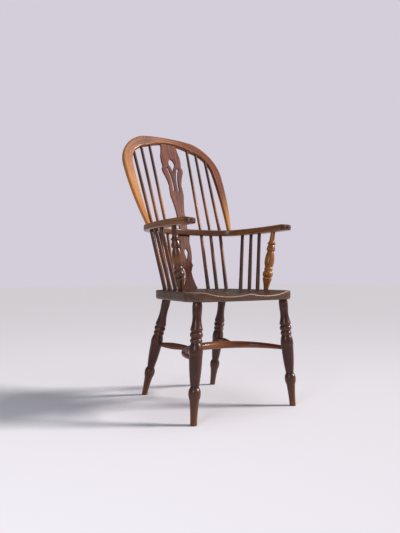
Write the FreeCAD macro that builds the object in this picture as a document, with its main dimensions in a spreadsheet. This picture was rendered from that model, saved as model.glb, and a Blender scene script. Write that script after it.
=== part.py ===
import FreeCAD
import Part

import math
import os

import Sketcher

# Windsor armchair with a double bow: a saddled seat on four turned legs, a flat
# horseshoe arm bow on sticks and two turned supports, and a tall bent hoop that
# stands in the arm bow and holds the long sticks and the pierced splat.
# Millimetres, +Z up, the sitter faces -Y, the floor is Z = 0 and the origin lies
# under the middle of the chair. Left is the sitter's left, on the +X side.

RIGHT = -1
LEFT = 1
SIDES = {"right": RIGHT, "left": LEFT}
UPRIGHT = FreeCAD.Vector(0, 0, 1)

SIZES = {
    # The seat plank, in plan from its back edge round to its front edge
    "seat_top": 450.0,
    "seat_thickness": 34.0,
    "seat_back_edge": 119.0,
    "seat_back_radius": 318.0,
    "seat_back_half_span": 139.0,
    "seat_shoulder_radius": 145.0,
    "seat_side_flare": 0.105,
    "seat_front_edge": 323.0,
    "seat_front_radius": 1700.0,
    "seat_corner_radius": 65.0,
    "seat_top_rounding": 3.0,
    "seat_bottom_rounding": 7.0,
    # The saddle: a wide shallow dish and one deeper hollow under each thigh
    "dish_depth": 8.0,
    "dish_height": 40.0,
    "dish_half_width": 225.0,
    "dish_half_length": 330.0,
    "dish_centre_forward": 170.0,
    "hollow_depth": 17.0,
    "hollow_height": 45.0,
    "hollow_half_width": 140.0,
    "hollow_half_length": 330.0,
    "hollow_spread": 84.0,
    "hollow_centre_forward": 235.0,
    # Where things stand on the seat
    "stick_inset": 31.0,
    "stick_socket_depth": 16.0,
    "long_stick_1_seat_x": 84.0,
    "long_stick_2_seat_x": 120.6,
    "long_stick_3_seat_x": 155.3,
    "short_stick_1_seat_back": -23.0,
    "short_stick_2_seat_back": -76.0,
    "short_stick_3_seat_back": -124.0,
    "support_seat_back": -171.0,
    # The arm bow, a flat horseshoe, along the middle of its width
    "bow_top": 715.0,
    "bow_thickness": 26.5,
    "bow_width": 38.0,
    "bow_back": 149.0,
    "bow_back_radius": 390.0,
    "bow_back_half_span": 177.0,
    "bow_corner_radius": 90.0,
    "bow_side_flare": 0.2126,
    "bow_side_radius": 772.0,
    "bow_tip_forward": 268.0,
    "bow_rounding": 6.0,
    # Where things stand in the arm bow
    "bow_socket_depth": 15.0,
    "long_stick_1_bow_x": 87.6,
    "long_stick_2_bow_x": 130.7,
    "long_stick_3_bow_x": 172.1,
    "hoop_foot_x": 205.0,
    "short_stick_1_bow_back": 16.0,
    "short_stick_2_bow_back": -36.0,
    "short_stick_3_bow_back": -87.0,
    "support_bow_back": -177.0,
    # The top hoop, in its own leaning plane, with heights above the arm bow
    "hoop_lean": 27.0,
    "hoop_crest": 494.0,
    "hoop_half_width": 251.5,
    "hoop_foot_width": 15.5,
    "hoop_crest_radius": 480.0,
    "hoop_crest_half_span": 150.0,
    "hoop_crest_width": 34.5,
    "hoop_side_width": 36.0,
    "hoop_inner_crest_radius": 440.0,
    "hoop_inner_half_span": 100.0,
    "hoop_crest_depth": 22.0,
    "hoop_foot_depth": 16.5,
    "hoop_rounding": 6.0,
    "hoop_thinning_room": 30.0,
    "hoop_tenon_radius": 7.5,
    "hoop_tenon_length": 17.0,
    "hoop_socket_depth": 11.0,
    # How far inside the hoop's half width each long stick meets it
    "long_stick_1_hoop_inset": 151.0,
    "long_stick_2_hoop_inset": 105.4,
    "long_stick_3_hoop_inset": 61.5,
    # The sticks
    "stick_seat_radius": 8.4,
    "stick_bow_radius": 7.1,
    "stick_hoop_radius": 6.5,
    # The narrow flat that parts one turned shape from the next
    "turning_gap": 2.0,
    # The turned legs: each shape's length is measured up the leg from the one below
    "front_foot_x": 230.5,
    "front_foot_forward": 297.4,
    "front_leg_top_x": 200.5,
    "front_leg_top_forward": 275.5,
    "rear_foot_x": 177.2,
    "rear_foot_back": 177.4,
    "rear_leg_top_x": 140.5,
    "rear_leg_top_back": 47.0,
    "foot_radius": 11.8,
    "foot_allowance": 6.0,
    "floor_room": 36.0,
    "ankle_height": 84.0,
    "ankle_radius": 17.0,
    "ankle_hollow": 1.2,
    "bulb_rise": 22.0,
    "bulb_radius": 21.5,
    "bulb_fall": 16.0,
    "bulb_top_radius": 18.0,
    "shank_rise": 6.0,
    "shank_radius": 15.0,
    "vase_rise": 104.0,
    "vase_radius": 23.5,
    "vase_fullness": 1.6,
    "vase_fall": 44.0,
    "vase_neck_radius": 18.2,
    "vase_shoulder": 3.2,
    "small_bead_width": 16.0,
    "small_bead_radius": 21.6,
    "bead_gap": 3.0,
    "bead_gap_radius": 18.4,
    "large_bead_width": 19.0,
    "large_bead_radius": 23.0,
    "rim_gap_radius": 18.8,
    "rim_slope": 4.0,
    "rim_radius": 21.8,
    "rim_width": 5.0,
    "column_waist_drop": 36.0,
    "column_waist_radius": 17.2,
    "column_flare": 3.2,
    "leg_top_radius": 17.6,
    "leg_tenon_radius": 13.0,
    "leg_tenon_length": 14.0,
    "leg_seat_entry": 12.0,
    # The bent stretcher between the front legs and its two short spurs
    "stretcher_height": 222.5,
    "stretcher_back": -58.0,
    "stretcher_end_radius": 7.8,
    "stretcher_mid_radius": 15.5,
    "stretcher_setback": 20.0,
    "stretcher_tenon_radius": 7.2,
    "stretcher_tenon_past_axis": 4.0,
    "spur_meet_x": 100.0,
    "spur_end_radius": 7.3,
    "spur_belly_radius": 13.2,
    "spur_fullness": 1.25,
    "spur_tenon_length": 14.0,
    "spur_stretcher_tenon": 8.0,
    # The turned arm supports: each shape's length is measured up from the one below
    "support_tenon_radius": 8.6,
    "support_foot_radius": 9.6,
    "cup_height": 42.0,
    "cup_rim_radius": 18.8,
    "cup_rim_width": 5.0,
    "cup_hollow": 0.8,
    "lower_bead_width": 27.0,
    "lower_bead_radius": 21.0,
    "lower_gap_radius": 15.5,
    "lower_ring_width": 12.0,
    "lower_ring_radius": 17.4,
    "support_vase_foot_radius": 14.8,
    "support_vase_rise": 22.0,
    "support_vase_radius": 19.8,
    "support_vase_fullness": 1.2,
    "support_vase_fall": 44.0,
    "support_neck_radius": 13.2,
    "support_vase_shoulder": 1.8,
    "upper_bead_rise": 8.0,
    "upper_bead_radius": 18.0,
    "upper_bead_fall": 20.0,
    "upper_bead_fullness": 0.8,
    "upper_gap_radius": 12.8,
    "collar_rise": 5.0,
    "collar_radius": 17.8,
    "collar_fall": 17.0,
    "collar_hollow": 2.0,
    "collar_top_radius": 10.4,
    "support_top_radius": 9.2,
    # The pierced splat, in two lengths that stand in the same line
    "splat_thickness": 9.5,
    "splat_hoop_housing": 8.0,
    "splat_bow_housing": 8.0,
    "lower_splat_head_forward": 3.7,
    "splat_seat_housing": 12.0,
    "pierced_drop_tip": 282.0,
    "pierced_drop_half": 16.5,
    "pierced_drop_rise": 43.0,
    "pierced_drop_fall": 33.0,
    "pierced_drop_flank": 2.1,
    "pierced_drop_crown": 5.5,
    "slot_end_swell": 3.5,
    "lower_drop_tip": 112.0,
    "lower_drop_half": 10.5,
    "lower_drop_rise": 48.0,
    "lower_drop_fall": 24.0,
    "lower_drop_flank": 1.3,
    "lower_drop_crown": 3.5,
    # Glue room all round each socket, and room to turn a splat into its housing
    "joint_clearance": 0.15,
}

# Half widths of each splat, the rise up its own slope from the one before, and the
# swell of the edge from there to the next: outwards is positive, 0 is straight
UPPER_SPLAT = [
    ("foot", 19.6, 1.0, 0.0),
    ("stem", 20.0, 82.0, -1.2),
    ("hip", 33.5, 82.0, 0.6),
    ("waist", 31.5, 53.0, -2.5),
    ("flank", 52.0, 67.0, 0.0),
    ("cusp", 54.0, 19.0, -1.5),
    ("ear", 48.0, 17.0, 2.5),
    ("cheek", 49.0, 54.0, -1.0),
    ("head", 40.0, 47.0, 0.0),
]
LOWER_SPLAT = [
    ("foot", 33.0, 6.0, -3.5),
    ("waist", 13.5, 70.0, -0.6),
    ("cusp", 26.0, 31.0, -2.0),
    ("shoulder", 21.5, 17.0, 4.0),
    ("neck", 22.5, 84.0, -1.0),
    ("head", 27.0, 28.0, 0.0),
]
# The two slots that open out from the stem: inner edge, outer edge, rise from the one
# before, and how far both edges bow towards the middle on the way up from there
SLOTS = [
    ("low", 8.8, 18.2, 190.0, 3.0),
    ("upper", 12.5, 22.5, 80.0, 0.8),
    ("high", 22.5, 33.0, 37.0, 0.0),
]

doc = FreeCAD.newDocument("WindsorChair")
sheet = doc.addObject("Spreadsheet::Sheet", "Sizes")
layout_values = doc.addObject("App::VarSet", "Layout")


class Size:
    """A number together with the expression that gives it from the sheet."""

    def __init__(self, number, text):
        self.number = number
        self.text = text

    def __add__(self, other):
        other = as_size(other)
        return Size(self.number + other.number, f"({self.text} + {other.text})")

    def __sub__(self, other):
        other = as_size(other)
        return Size(self.number - other.number, f"({self.text} - {other.text})")

    def __mul__(self, other):
        other = as_size(other)
        return Size(self.number * other.number, f"({self.text} * {other.text})")

    def __truediv__(self, other):
        other = as_size(other)
        return Size(self.number / other.number, f"({self.text} / {other.text})")

    def __neg__(self):
        return self * -1

    __radd__ = __add__
    __rmul__ = __mul__


def as_size(value):
    return value if isinstance(value, Size) else Size(float(value), f"({value})")


def root(size):
    """The square root of a size."""
    return Size(math.sqrt(size.number), f"sqrt({size.text})")


def hypotenuse(*lengths):
    return root(sum((side * side for side in lengths), as_size(0)))


def sine(angle):
    return Size(math.sin(math.radians(angle.number)), f"sin({angle.text})")


def cosine(angle):
    return Size(math.cos(math.radians(angle.number)), f"cos({angle.text})")


def angle_of(run, rise):
    """The angle in degrees from one leg of a right triangle, given both legs."""
    number = math.degrees(math.atan2(rise.number, run.number))
    return Size(number, f"atan2({rise.text}; {run.text})")


def fill_sheet():
    """Write every driving size to the sheet, one named cell each."""
    rows = dict(SIZES)
    for prefix, outline in (("upper_splat", UPPER_SPLAT), ("lower_splat", LOWER_SPLAT)):
        for name, half, rise, swell in outline:
            rows[f"{prefix}_{name}_half"] = half
            rows[f"{prefix}_{name}_rise"] = rise
            if swell:
                rows[f"{prefix}_{name}_swell"] = swell
    for name, inner, outer, rise, bow in SLOTS:
        rows[f"slot_{name}_inner"] = inner
        rows[f"slot_{name}_outer"] = outer
        rows[f"slot_{name}_rise"] = rise
        if bow:
            rows[f"slot_{name}_bow"] = bow
    for row, (name, value) in enumerate(rows.items(), start=1):
        sheet.set(f"A{row}", name)
        sheet.set(f"B{row}", str(value))
        sheet.setAlias(f"B{row}", name)
    doc.recompute()
    return {name: Size(value, f"Sizes.{name}") for name, value in rows.items()}


s = fill_sheet()


def layout(name, size):
    """Keep a worked-out size under a name, so that later ones can refer to it."""
    layout_values.addProperty("App::PropertyFloat", name)
    layout_values.setExpression(name, size.text)
    return Size(size.number, f"Layout.{name}")


def layout_point(name, point):
    return tuple(layout(f"{name}_{axis}", as_size(size)) for axis, size in zip("xyz", point))


# Placing

def bind(item, prop, size):
    item.setExpression(prop, as_size(size).text)


def mirrored(point, side):
    return (point[0] * side,) + tuple(point[1:])


def between(start, end, height):
    """The point at a height on the line from start to end."""
    share = (height - start[2]) / (end[2] - start[2])
    return (start[0] + (end[0] - start[0]) * share, start[1] + (end[1] - start[1]) * share, height)


def distance(start, end):
    return hypotenuse(*(b - a for a, b in zip(start, end)))


def place_along(item, start, end):
    """Stand an upright item at start, with its own Z axis pointing to end."""
    dx, dy, dz = (b - a for a, b in zip(start, end))
    place = f"vector({start[0].text}; {start[1].text}; {start[2].text})"
    tilt = f"acos({dz.text} / {distance(start, end).text})"
    turned = f"rotation(vector(-{dy.text}; {dx.text}; 0); {tilt})"
    item.setExpression("Placement", f"placement({place}; {turned})")


def place_leaning(item, start, lean):
    """Put an upright item's origin at start, tipped back about X by an angle."""
    place = f"vector({start[0].text}; {start[1].text}; {start[2].text})"
    item.setExpression("Placement", f"placement({place}; rotation(vector(1; 0; 0); -{lean.text}))")


def primitive(kind, name, **sizes):
    item = doc.addObject(kind, name)
    for prop, size in sizes.items():
        bind(item, prop, size)
    return item


def rod(name, start, end, radius, end_radius=None):
    """A round bar or taper from one point to another."""
    if end_radius is None:
        item = primitive("Part::Cylinder", name, Radius=radius, Height=distance(start, end))
    else:
        item = primitive("Part::Cone", name, Radius1=radius, Radius2=end_radius,
                         Height=distance(start, end))
    place_along(item, start, end)
    return item


def block(name, corner, spans):
    item = primitive("Part::Box", name, Length=spans[0], Width=spans[1], Height=spans[2])
    bind(item, "Placement.Base.x", corner[0])
    bind(item, "Placement.Base.y", corner[1])
    bind(item, "Placement.Base.z", corner[2])
    return item


# Sketching

def origin_plane(body, role):
    return next(item for item in body.Origin.OriginFeatures if item.Role == role)


def new_body(name):
    return doc.addObject("PartDesign::Body", name)


def new_sketch(body, name, role="XY_Plane", rise=None):
    sketch = body.newObject("Sketcher::SketchObject", name)
    sketch.AttachmentSupport = [(origin_plane(body, role), "")]
    sketch.MapMode = "FlatFace"
    if rise is not None:
        bind(sketch, "AttachmentOffset.Base.z", rise)
    return sketch


class Outline:
    """A closed run of straight and round edges whose corners are pinned by sizes."""

    def __init__(self, start):
        self.corners = [tuple(as_size(value) for value in start)]
        self.edges = []
        self.first = 0
        self.ends = []

    def line(self, x, y):
        return self.arc(x, y, None)

    def arc(self, x, y, radius, swell=LEFT):
        """A round edge; swell tells on which side of the chord it bulges."""
        self.corners.append((as_size(x), as_size(y)))
        self.edges.append((radius, swell))
        return self

    def mirror(self):
        """Run the same edges back on the other side of the sketch's own Y axis."""
        for index in range(len(self.edges) - 1, -1, -1):
            x, y = self.corners[index]
            radius, swell = self.edges[index]
            self.corners.append((-x, y))
            self.edges.append((radius, swell))
        return self

    def draw(self, sketch):
        """Draw the edges in a sketch and pin each corner and radius by its size."""
        corners = self.corners
        self.first = sketch.GeometryCount
        closed = all(abs(a.number - b.number) < 1e-6 for a, b in zip(corners[0], corners[-1]))
        if not closed:
            corners = corners + [corners[0]]
            self.edges.append((None, LEFT))
        for (start, end), (radius, swell) in zip(zip(corners, corners[1:]), self.edges):
            self.draw_edge(sketch, start, end, radius, swell)
        count = len(self.edges)
        for index in range(count):
            here, there = self.ends[index][1], self.ends[(index + 1) % count][0]
            sketch.addConstraint(Sketcher.Constraint("Coincident", index + self.first, here,
                                                     (index + 1) % count + self.first, there))
            self.pin(sketch, index + self.first, self.ends[index][0], corners[index])
        return sketch

    def draw_edge(self, sketch, start, end, radius, swell):
        a = FreeCAD.Vector(start[0].number, start[1].number, 0)
        b = FreeCAD.Vector(end[0].number, end[1].number, 0)
        if radius is None:
            sketch.addGeometry(Part.LineSegment(a, b))
            self.ends.append((1, 2))
            return
        half = (b - a) * 0.5
        reach = math.sqrt(max(radius.number ** 2 - half.Length ** 2, 0.0))
        across = FreeCAD.Vector(-half.y, half.x, 0).normalize() * swell
        centre = a + half - across * reach
        middle = centre + across * radius.number
        index = sketch.addGeometry(Part.Arc(a, middle, b))
        drawn = sketch.getPoint(index, 1)
        forward = drawn.distanceToPoint(a) < drawn.distanceToPoint(b)
        self.ends.append((1, 2) if forward else (2, 1))
        number = sketch.addConstraint(Sketcher.Constraint("Radius", index, radius.number))
        sketch.setExpression(f"Constraints[{number}]", radius.text)

    def pin(self, sketch, edge, end, corner):
        for kind, size in zip(("DistanceX", "DistanceY"), corner):
            constraint = Sketcher.Constraint(kind, -1, 1, edge, end, size.number)
            number = sketch.addConstraint(constraint)
            sketch.setExpression(f"Constraints[{number}]", size.text)


def bulge_radius(start, end, swell):
    """The radius of a round edge that stands swell proud of its chord."""
    half = distance(start, end) / 2
    return (half * half + swell * swell) / (swell * 2)


def pad(body, sketch, name, length, middle=False):
    feature = body.newObject("PartDesign::Pad", name)
    feature.Profile = sketch
    bind(feature, "Length", length)
    if middle:
        feature.SideType = "Symmetric"
    return feature


def turn(body, sketch, name="Turning"):
    """Turn a profile about the body's upright axis."""
    feature = body.newObject("PartDesign::Revolution", name)
    feature.Profile = sketch
    feature.ReferenceAxis = (sketch, ["V_Axis"])
    feature.Angle = 360.0
    return feature


def round_edges(body, name, radius, choose):
    """Round the edges of the body's present shape that the test picks."""
    doc.recompute()
    base = body.Tip
    names = [f"Edge{number}" for number, edge in enumerate(base.Shape.Edges, start=1) if choose(edge)]
    feature = body.newObject("PartDesign::Fillet", name)
    feature.Base = (base, names)
    bind(feature, "Radius", radius)
    return feature


def joined(name, items):
    fuse = doc.addObject("Part::MultiFuse", name)
    fuse.Shapes = items
    return fuse


def cut_out(name, base, tools):
    """A piece with all its sockets and housings taken out."""
    cut = doc.addObject("Part::Cut", name)
    cut.Base = base
    cut.Tool = tools[0] if len(tools) == 1 else joined(name + "_sockets", tools)
    return cut


# The seat's plan, worked out from its back edge round to its front corner

half_bow = s["bow_width"] / 2
seat_underside = s["seat_top"] - s["seat_thickness"]


class SeatPlan:
    """Centres and corners of the seat's outline on the +X side."""

    def __init__(self):
        back_radius = s["seat_back_radius"]
        self.back_centre_y = layout("seat_back_centre_y", s["seat_back_edge"] - back_radius)
        sine_turn = s["seat_back_half_span"] / back_radius
        cosine_turn = root(as_size(1) - sine_turn * sine_turn)
        arm = back_radius - s["seat_shoulder_radius"]
        self.turn = (s["seat_back_half_span"],
                     layout("seat_turn_y", self.back_centre_y + back_radius * cosine_turn))
        self.shoulder = (layout("seat_shoulder_x", arm * sine_turn),
                         layout("seat_shoulder_y", self.back_centre_y + arm * cosine_turn))
        flare = s["seat_side_flare"]
        self.unit = layout("seat_side_unit", root(flare * flare + 1))
        self.side = self.side_point(s["seat_shoulder_radius"])
        self.front_centre_y = layout("seat_front_centre_y", s["seat_front_radius"] - s["seat_front_edge"])
        inner = self.side_point(s["seat_shoulder_radius"] - s["seat_corner_radius"])
        along_x, along_y = flare / self.unit, as_size(-1) / self.unit
        reach = s["seat_front_radius"] - s["seat_corner_radius"]
        rise = inner[1] - self.front_centre_y
        middle = inner[0] * along_x + rise * along_y
        beyond = inner[0] * inner[0] + rise * rise - reach * reach
        run = root(middle * middle - beyond) - middle
        self.corner = (layout("seat_corner_x", inner[0] + along_x * run),
                       layout("seat_corner_y", inner[1] + along_y * run))
        radius = s["seat_corner_radius"]
        self.corner_side = (self.corner[0] + radius / self.unit, self.corner[1] + radius * flare / self.unit)
        share = s["seat_front_radius"] / reach
        self.corner_front = (self.corner[0] * share,
                             self.front_centre_y + (self.corner[1] - self.front_centre_y) * share)

    def side_point(self, radius):
        """Where the shoulder's round edge of this radius turns into the straight side."""
        flare = s["seat_side_flare"]
        return (self.shoulder[0] + radius / self.unit, self.shoulder[1] + radius * flare / self.unit)

    def back_ring(self, x):
        """How far back a stick at x stands on the ring of sockets, behind the turn."""
        ring = s["seat_back_radius"] - s["stick_inset"]
        return self.back_centre_y + root(ring * ring - x * x)

    def shoulder_ring(self, x):
        ring = s["seat_shoulder_radius"] - s["stick_inset"]
        return self.shoulder[1] + root(ring * ring - (x - self.shoulder[0]) * (x - self.shoulder[0]))

    def shoulder_ring_x(self, y):
        ring = s["seat_shoulder_radius"] - s["stick_inset"]
        return self.shoulder[0] + root(ring * ring - (y - self.shoulder[1]) * (y - self.shoulder[1]))

    def side_ring_x(self, y):
        """How far out the ring of sockets lies beside the straight side of the seat."""
        start = self.side_point(s["seat_shoulder_radius"] - s["stick_inset"])
        return start[0] + (start[1] - y) * s["seat_side_flare"]


class BowPlan:
    """Centres of the arm bow's middle line on the +X side."""

    def __init__(self):
        radius = s["bow_back_radius"]
        self.back_centre_y = layout("bow_back_centre_y", s["bow_back"] - radius)
        sine_turn = s["bow_back_half_span"] / radius
        cosine_turn = root(as_size(1) - sine_turn * sine_turn)
        self.turn_out = (layout("bow_turn_sine", sine_turn), layout("bow_turn_cosine", cosine_turn))
        arm = radius - s["bow_corner_radius"]
        self.corner = (layout("bow_corner_x", arm * sine_turn),
                       layout("bow_corner_y", self.back_centre_y + arm * cosine_turn))
        flare = s["bow_side_flare"]
        unit = root(flare * flare + 1)
        self.side_out = (layout("bow_side_cosine", as_size(1) / unit), layout("bow_side_sine", flare / unit))
        arm = s["bow_side_radius"] - s["bow_corner_radius"]
        self.side = (layout("bow_side_x", self.corner[0] - arm * self.side_out[0]),
                     layout("bow_side_y", self.corner[1] - arm * self.side_out[1]))
        sink = (-s["bow_tip_forward"] - self.side[1]) / s["bow_side_radius"]
        self.tip_out = (layout("bow_tip_cosine", root(as_size(1) - sink * sink)),
                        layout("bow_tip_sine", sink))

    def ring(self, offset, centre, radius, outward):
        """A point of the edge that lies offset outside the middle line."""
        reach = radius + offset
        return (centre[0] + reach * outward[0], centre[1] + reach * outward[1])

    def edge_points(self, offset):
        """The edge's turning points, from the middle of the back to the arm's tip."""
        centre = (as_size(0), self.back_centre_y)
        back = (as_size(0), s["bow_back"] + offset)
        turn_point = self.ring(offset, centre, s["bow_back_radius"], self.turn_out)
        side_point = self.ring(offset, self.side, s["bow_side_radius"], self.side_out)
        tip_point = self.ring(offset, self.side, s["bow_side_radius"], self.tip_out)
        return back, turn_point, side_point, tip_point

    def back_line(self, x):
        return self.back_centre_y + root(s["bow_back_radius"] * s["bow_back_radius"] - x * x)

    def corner_line(self, x):
        reach = x - self.corner[0]
        return self.corner[1] + root(s["bow_corner_radius"] * s["bow_corner_radius"] - reach * reach)

    def side_line_x(self, y):
        reach = y - self.side[1]
        return self.side[0] + root(s["bow_side_radius"] * s["bow_side_radius"] - reach * reach)


class HoopPlan:
    """One edge of the hoop in its own plane: a crest, a shoulder and a long side.

    The side leaves the shoulder upright and bows out, or in where its foot stands wider.
    """

    def __init__(self, name, crest, crest_radius, half_span, half_width, foot):
        self.foot = foot
        self.half_width = half_width
        self.crest = crest
        self.crest_radius = crest_radius
        sine_turn = half_span / crest_radius
        cosine_turn = root(as_size(1) - sine_turn * sine_turn)
        self.shoulder_radius = layout(f"{name}_shoulder_radius",
                                      (half_width - half_span) / (as_size(1) - sine_turn))
        self.shoulder = (layout(f"{name}_shoulder_x", half_width - self.shoulder_radius),
                         layout(f"{name}_shoulder_rise",
                                crest - crest_radius + (crest_radius - self.shoulder_radius) * cosine_turn))
        self.turn = (half_span, crest - crest_radius + crest_radius * cosine_turn)
        spread = half_width - foot
        self.bows_out = 1 if spread.number > 0 else -1
        self.side_radius = layout(f"{name}_side_radius", (
            self.shoulder[1] * self.shoulder[1] + spread * spread) / (spread * 2 * self.bows_out))

    def height_at(self, x):
        """How high this edge lies above the arm bow at x, inside the shoulder."""
        reach = x - self.shoulder[0]
        return self.shoulder[1] + root(self.shoulder_radius * self.shoulder_radius - reach * reach)


seat_plan = SeatPlan()
bow_plan = BowPlan()
hoop_outer = HoopPlan("hoop_outer", s["hoop_crest"], s["hoop_crest_radius"], s["hoop_crest_half_span"],
                      s["hoop_half_width"], s["hoop_foot_x"] + s["hoop_foot_width"] / 2)
hoop_inner = HoopPlan("hoop_inner", s["hoop_crest"] - s["hoop_crest_width"], s["hoop_inner_crest_radius"],
                      s["hoop_inner_half_span"], s["hoop_half_width"] - s["hoop_side_width"],
                      s["hoop_foot_x"] - s["hoop_foot_width"] / 2)
hoop_origin = (as_size(0), layout("hoop_foot_y", bow_plan.corner_line(s["hoop_foot_x"])), s["bow_top"])


def hoop_point(x, rise):
    """A point of the hoop's middle plane, at a height up its slope from the arm bow."""
    return (x, hoop_origin[1] + rise * sine(s["hoop_lean"]), hoop_origin[2] + rise * cosine(s["hoop_lean"]))


# Where each upright starts and ends

bow_middle = layout("bow_middle", s["bow_top"] - s["bow_thickness"] / 2)
bow_underside = layout("bow_underside", s["bow_top"] - s["bow_thickness"])


def long_stick_points(number):
    """A long stick's points on the seat, in the arm bow and under the hoop, +X side."""
    seat_x = s[f"long_stick_{number}_seat_x"]
    bow_x = s[f"long_stick_{number}_bow_x"]
    hoop_x = s["hoop_half_width"] - s[f"long_stick_{number}_hoop_inset"]
    seat_y = seat_plan.shoulder_ring(seat_x) if number == 3 else seat_plan.back_ring(seat_x)
    seat = layout_point(f"long_stick_{number}_seat", (seat_x, seat_y, s["seat_top"]))
    bow = layout_point(f"long_stick_{number}_bow", (bow_x, bow_plan.back_line(bow_x), bow_middle))
    hoop = layout_point(f"long_stick_{number}_hoop", hoop_point(hoop_x, hoop_inner.height_at(hoop_x)))
    return seat, bow, hoop


def short_stick_points(number):
    """A short stick's points on the seat and under the arm bow, +X side."""
    seat_y = s[f"short_stick_{number}_seat_back"]
    bow_y = s[f"short_stick_{number}_bow_back"]
    seat_x = seat_plan.shoulder_ring_x(seat_y) if number == 1 else seat_plan.side_ring_x(seat_y)
    seat = layout_point(f"short_stick_{number}_seat", (seat_x, seat_y, s["seat_top"]))
    bow = layout_point(f"short_stick_{number}_bow", (bow_plan.side_line_x(bow_y), bow_y, bow_underside))
    return seat, bow


def beyond(start, end, length):
    """The point that lies a length past end, on the line from start."""
    share = as_size(length) / distance(start, end)
    return tuple(b + (b - a) * share for a, b in zip(start, end))


LONG_STICKS = {number: long_stick_points(number) for number in (1, 2, 3)}
SHORT_STICKS = {number: short_stick_points(number) for number in (1, 2, 3)}
support_seat = layout_point("support_seat", (seat_plan.side_ring_x(s["support_seat_back"]),
                                             s["support_seat_back"], s["seat_top"]))
support_bow = layout_point("support_bow", (bow_plan.side_line_x(s["support_bow_back"]),
                                           s["support_bow_back"], bow_underside))


# The sticks

def stick_body(name, points, radii, clearance=0):
    """A tapered stick through level circles, or the slightly larger tool for its sockets."""
    body = new_body(name)
    rings = []
    for index, (point, radius) in enumerate(zip(points, radii)):
        sketch = new_sketch(body, f"{name}_ring_{index}", rise=point[2])
        centre = FreeCAD.Vector(point[0].number, point[1].number, 0)
        circle = sketch.addGeometry(Part.Circle(centre, UPRIGHT, radius.number))
        for kind, size in (("DistanceX", point[0]), ("DistanceY", point[1])):
            constraint = sketch.addConstraint(Sketcher.Constraint(kind, -1, 1, circle, 3, size.number))
            sketch.setExpression(f"Constraints[{constraint}]", size.text)
        grown = radius + clearance
        constraint = sketch.addConstraint(Sketcher.Constraint("Radius", circle, grown.number))
        sketch.setExpression(f"Constraints[{constraint}]", grown.text)
        rings.append(sketch)
    loft = body.newObject("PartDesign::AdditiveLoft", f"{name}_taper")
    loft.Profile = rings[0]
    loft.Sections = [(ring, [""]) for ring in rings[1:]]
    loft.Ruled = True
    return body


def long_stick(name, number, side, clearance=0):
    seat, bow, hoop = (mirrored(point, side) for point in LONG_STICKS[number])
    points = (between(seat, bow, s["seat_top"] - s["stick_socket_depth"]), bow,
              beyond(bow, hoop, s["hoop_socket_depth"]))
    radii = (s["stick_seat_radius"], s["stick_bow_radius"], s["stick_hoop_radius"])
    return stick_body(name, points, radii, clearance)


def short_stick(name, number, side, clearance=0):
    seat, bow = (mirrored(point, side) for point in SHORT_STICKS[number])
    points = (between(seat, bow, s["seat_top"] - s["stick_socket_depth"]),
              between(seat, bow, bow_underside + s["bow_socket_depth"]))
    return stick_body(name, points, (s["stick_seat_radius"], s["stick_bow_radius"]), clearance)


pieces = []
stick_tools = {"seat": [], "bow": [], "hoop": []}
for side_name, side in SIDES.items():
    for number in LONG_STICKS:
        name = f"long_stick_{side_name}_{number}"
        pieces.append(long_stick(name, number, side))
        tool = long_stick(f"{name}_socket", number, side, s["joint_clearance"])
        for place in stick_tools.values():
            place.append(tool)
    for number in SHORT_STICKS:
        name = f"short_stick_{side_name}_{number}"
        pieces.append(short_stick(name, number, side))
        tool = short_stick(f"{name}_socket", number, side, s["joint_clearance"])
        stick_tools["seat"].append(tool)
        stick_tools["bow"].append(tool)


# The legs

class Turning:
    """Half the outline of a turned piece, drawn upwards one shape at a time."""

    def __init__(self, height, radius):
        self.height = as_size(height)
        self.outline = Outline((0, self.height))
        self.outline.line(radius, self.height)

    def line(self, radius, rise):
        """A straight stretch, level where its rise is nothing."""
        self.height = self.height + rise
        self.outline.line(radius, self.height)

    def curve(self, radius, rise, swell, side=RIGHT):
        """A round stretch that swells out, or in on the other side."""
        start = self.outline.corners[-1]
        self.height = self.height + rise
        self.outline.arc(radius, self.height, bulge_radius(start, (radius, self.height), swell), side)

    def bead(self, foot_radius, radius, width):
        """A round bead, and the narrow flat above it."""
        self.curve(foot_radius, width, radius - foot_radius)

    def finish(self, radius, top):
        """Go straight up to the top of the tenon, and back to the axis."""
        self.outline.line(radius, top)
        self.outline.line(0, top)
        return self.outline


def leg_profile(length):
    """Half the outline of a turned leg, from its foot up to the tenon in the seat."""
    leg = Turning(-s["foot_allowance"], s["foot_radius"])
    leg.curve(s["ankle_radius"], s["foot_allowance"] + s["ankle_height"], s["ankle_hollow"], LEFT)
    leg.curve(s["bulb_radius"], s["bulb_rise"], s["ankle_hollow"])
    leg.curve(s["bulb_top_radius"], s["bulb_fall"], s["ankle_hollow"])
    leg.line(s["shank_radius"], s["shank_rise"])
    leg.curve(s["vase_radius"], s["vase_rise"], s["vase_fullness"])
    leg.curve(s["vase_neck_radius"], s["vase_fall"], s["vase_shoulder"])
    leg.line(s["bead_gap_radius"], 0)
    leg.bead(s["bead_gap_radius"], s["small_bead_radius"], s["small_bead_width"])
    leg.line(s["bead_gap_radius"], s["bead_gap"])
    leg.line(s["rim_gap_radius"], 0)
    leg.bead(s["rim_gap_radius"], s["large_bead_radius"], s["large_bead_width"])
    leg.line(s["rim_gap_radius"], s["turning_gap"])
    leg.line(s["rim_radius"], s["rim_slope"])
    leg.line(s["rim_radius"], s["rim_width"])
    waist = length - s["column_waist_drop"]
    leg.curve(s["column_waist_radius"], waist - leg.height, s["column_flare"], LEFT)
    leg.line(s["leg_top_radius"], s["column_waist_drop"] - s["leg_seat_entry"])
    return leg.finish(s["leg_tenon_radius"], length + s["leg_tenon_length"])


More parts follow.
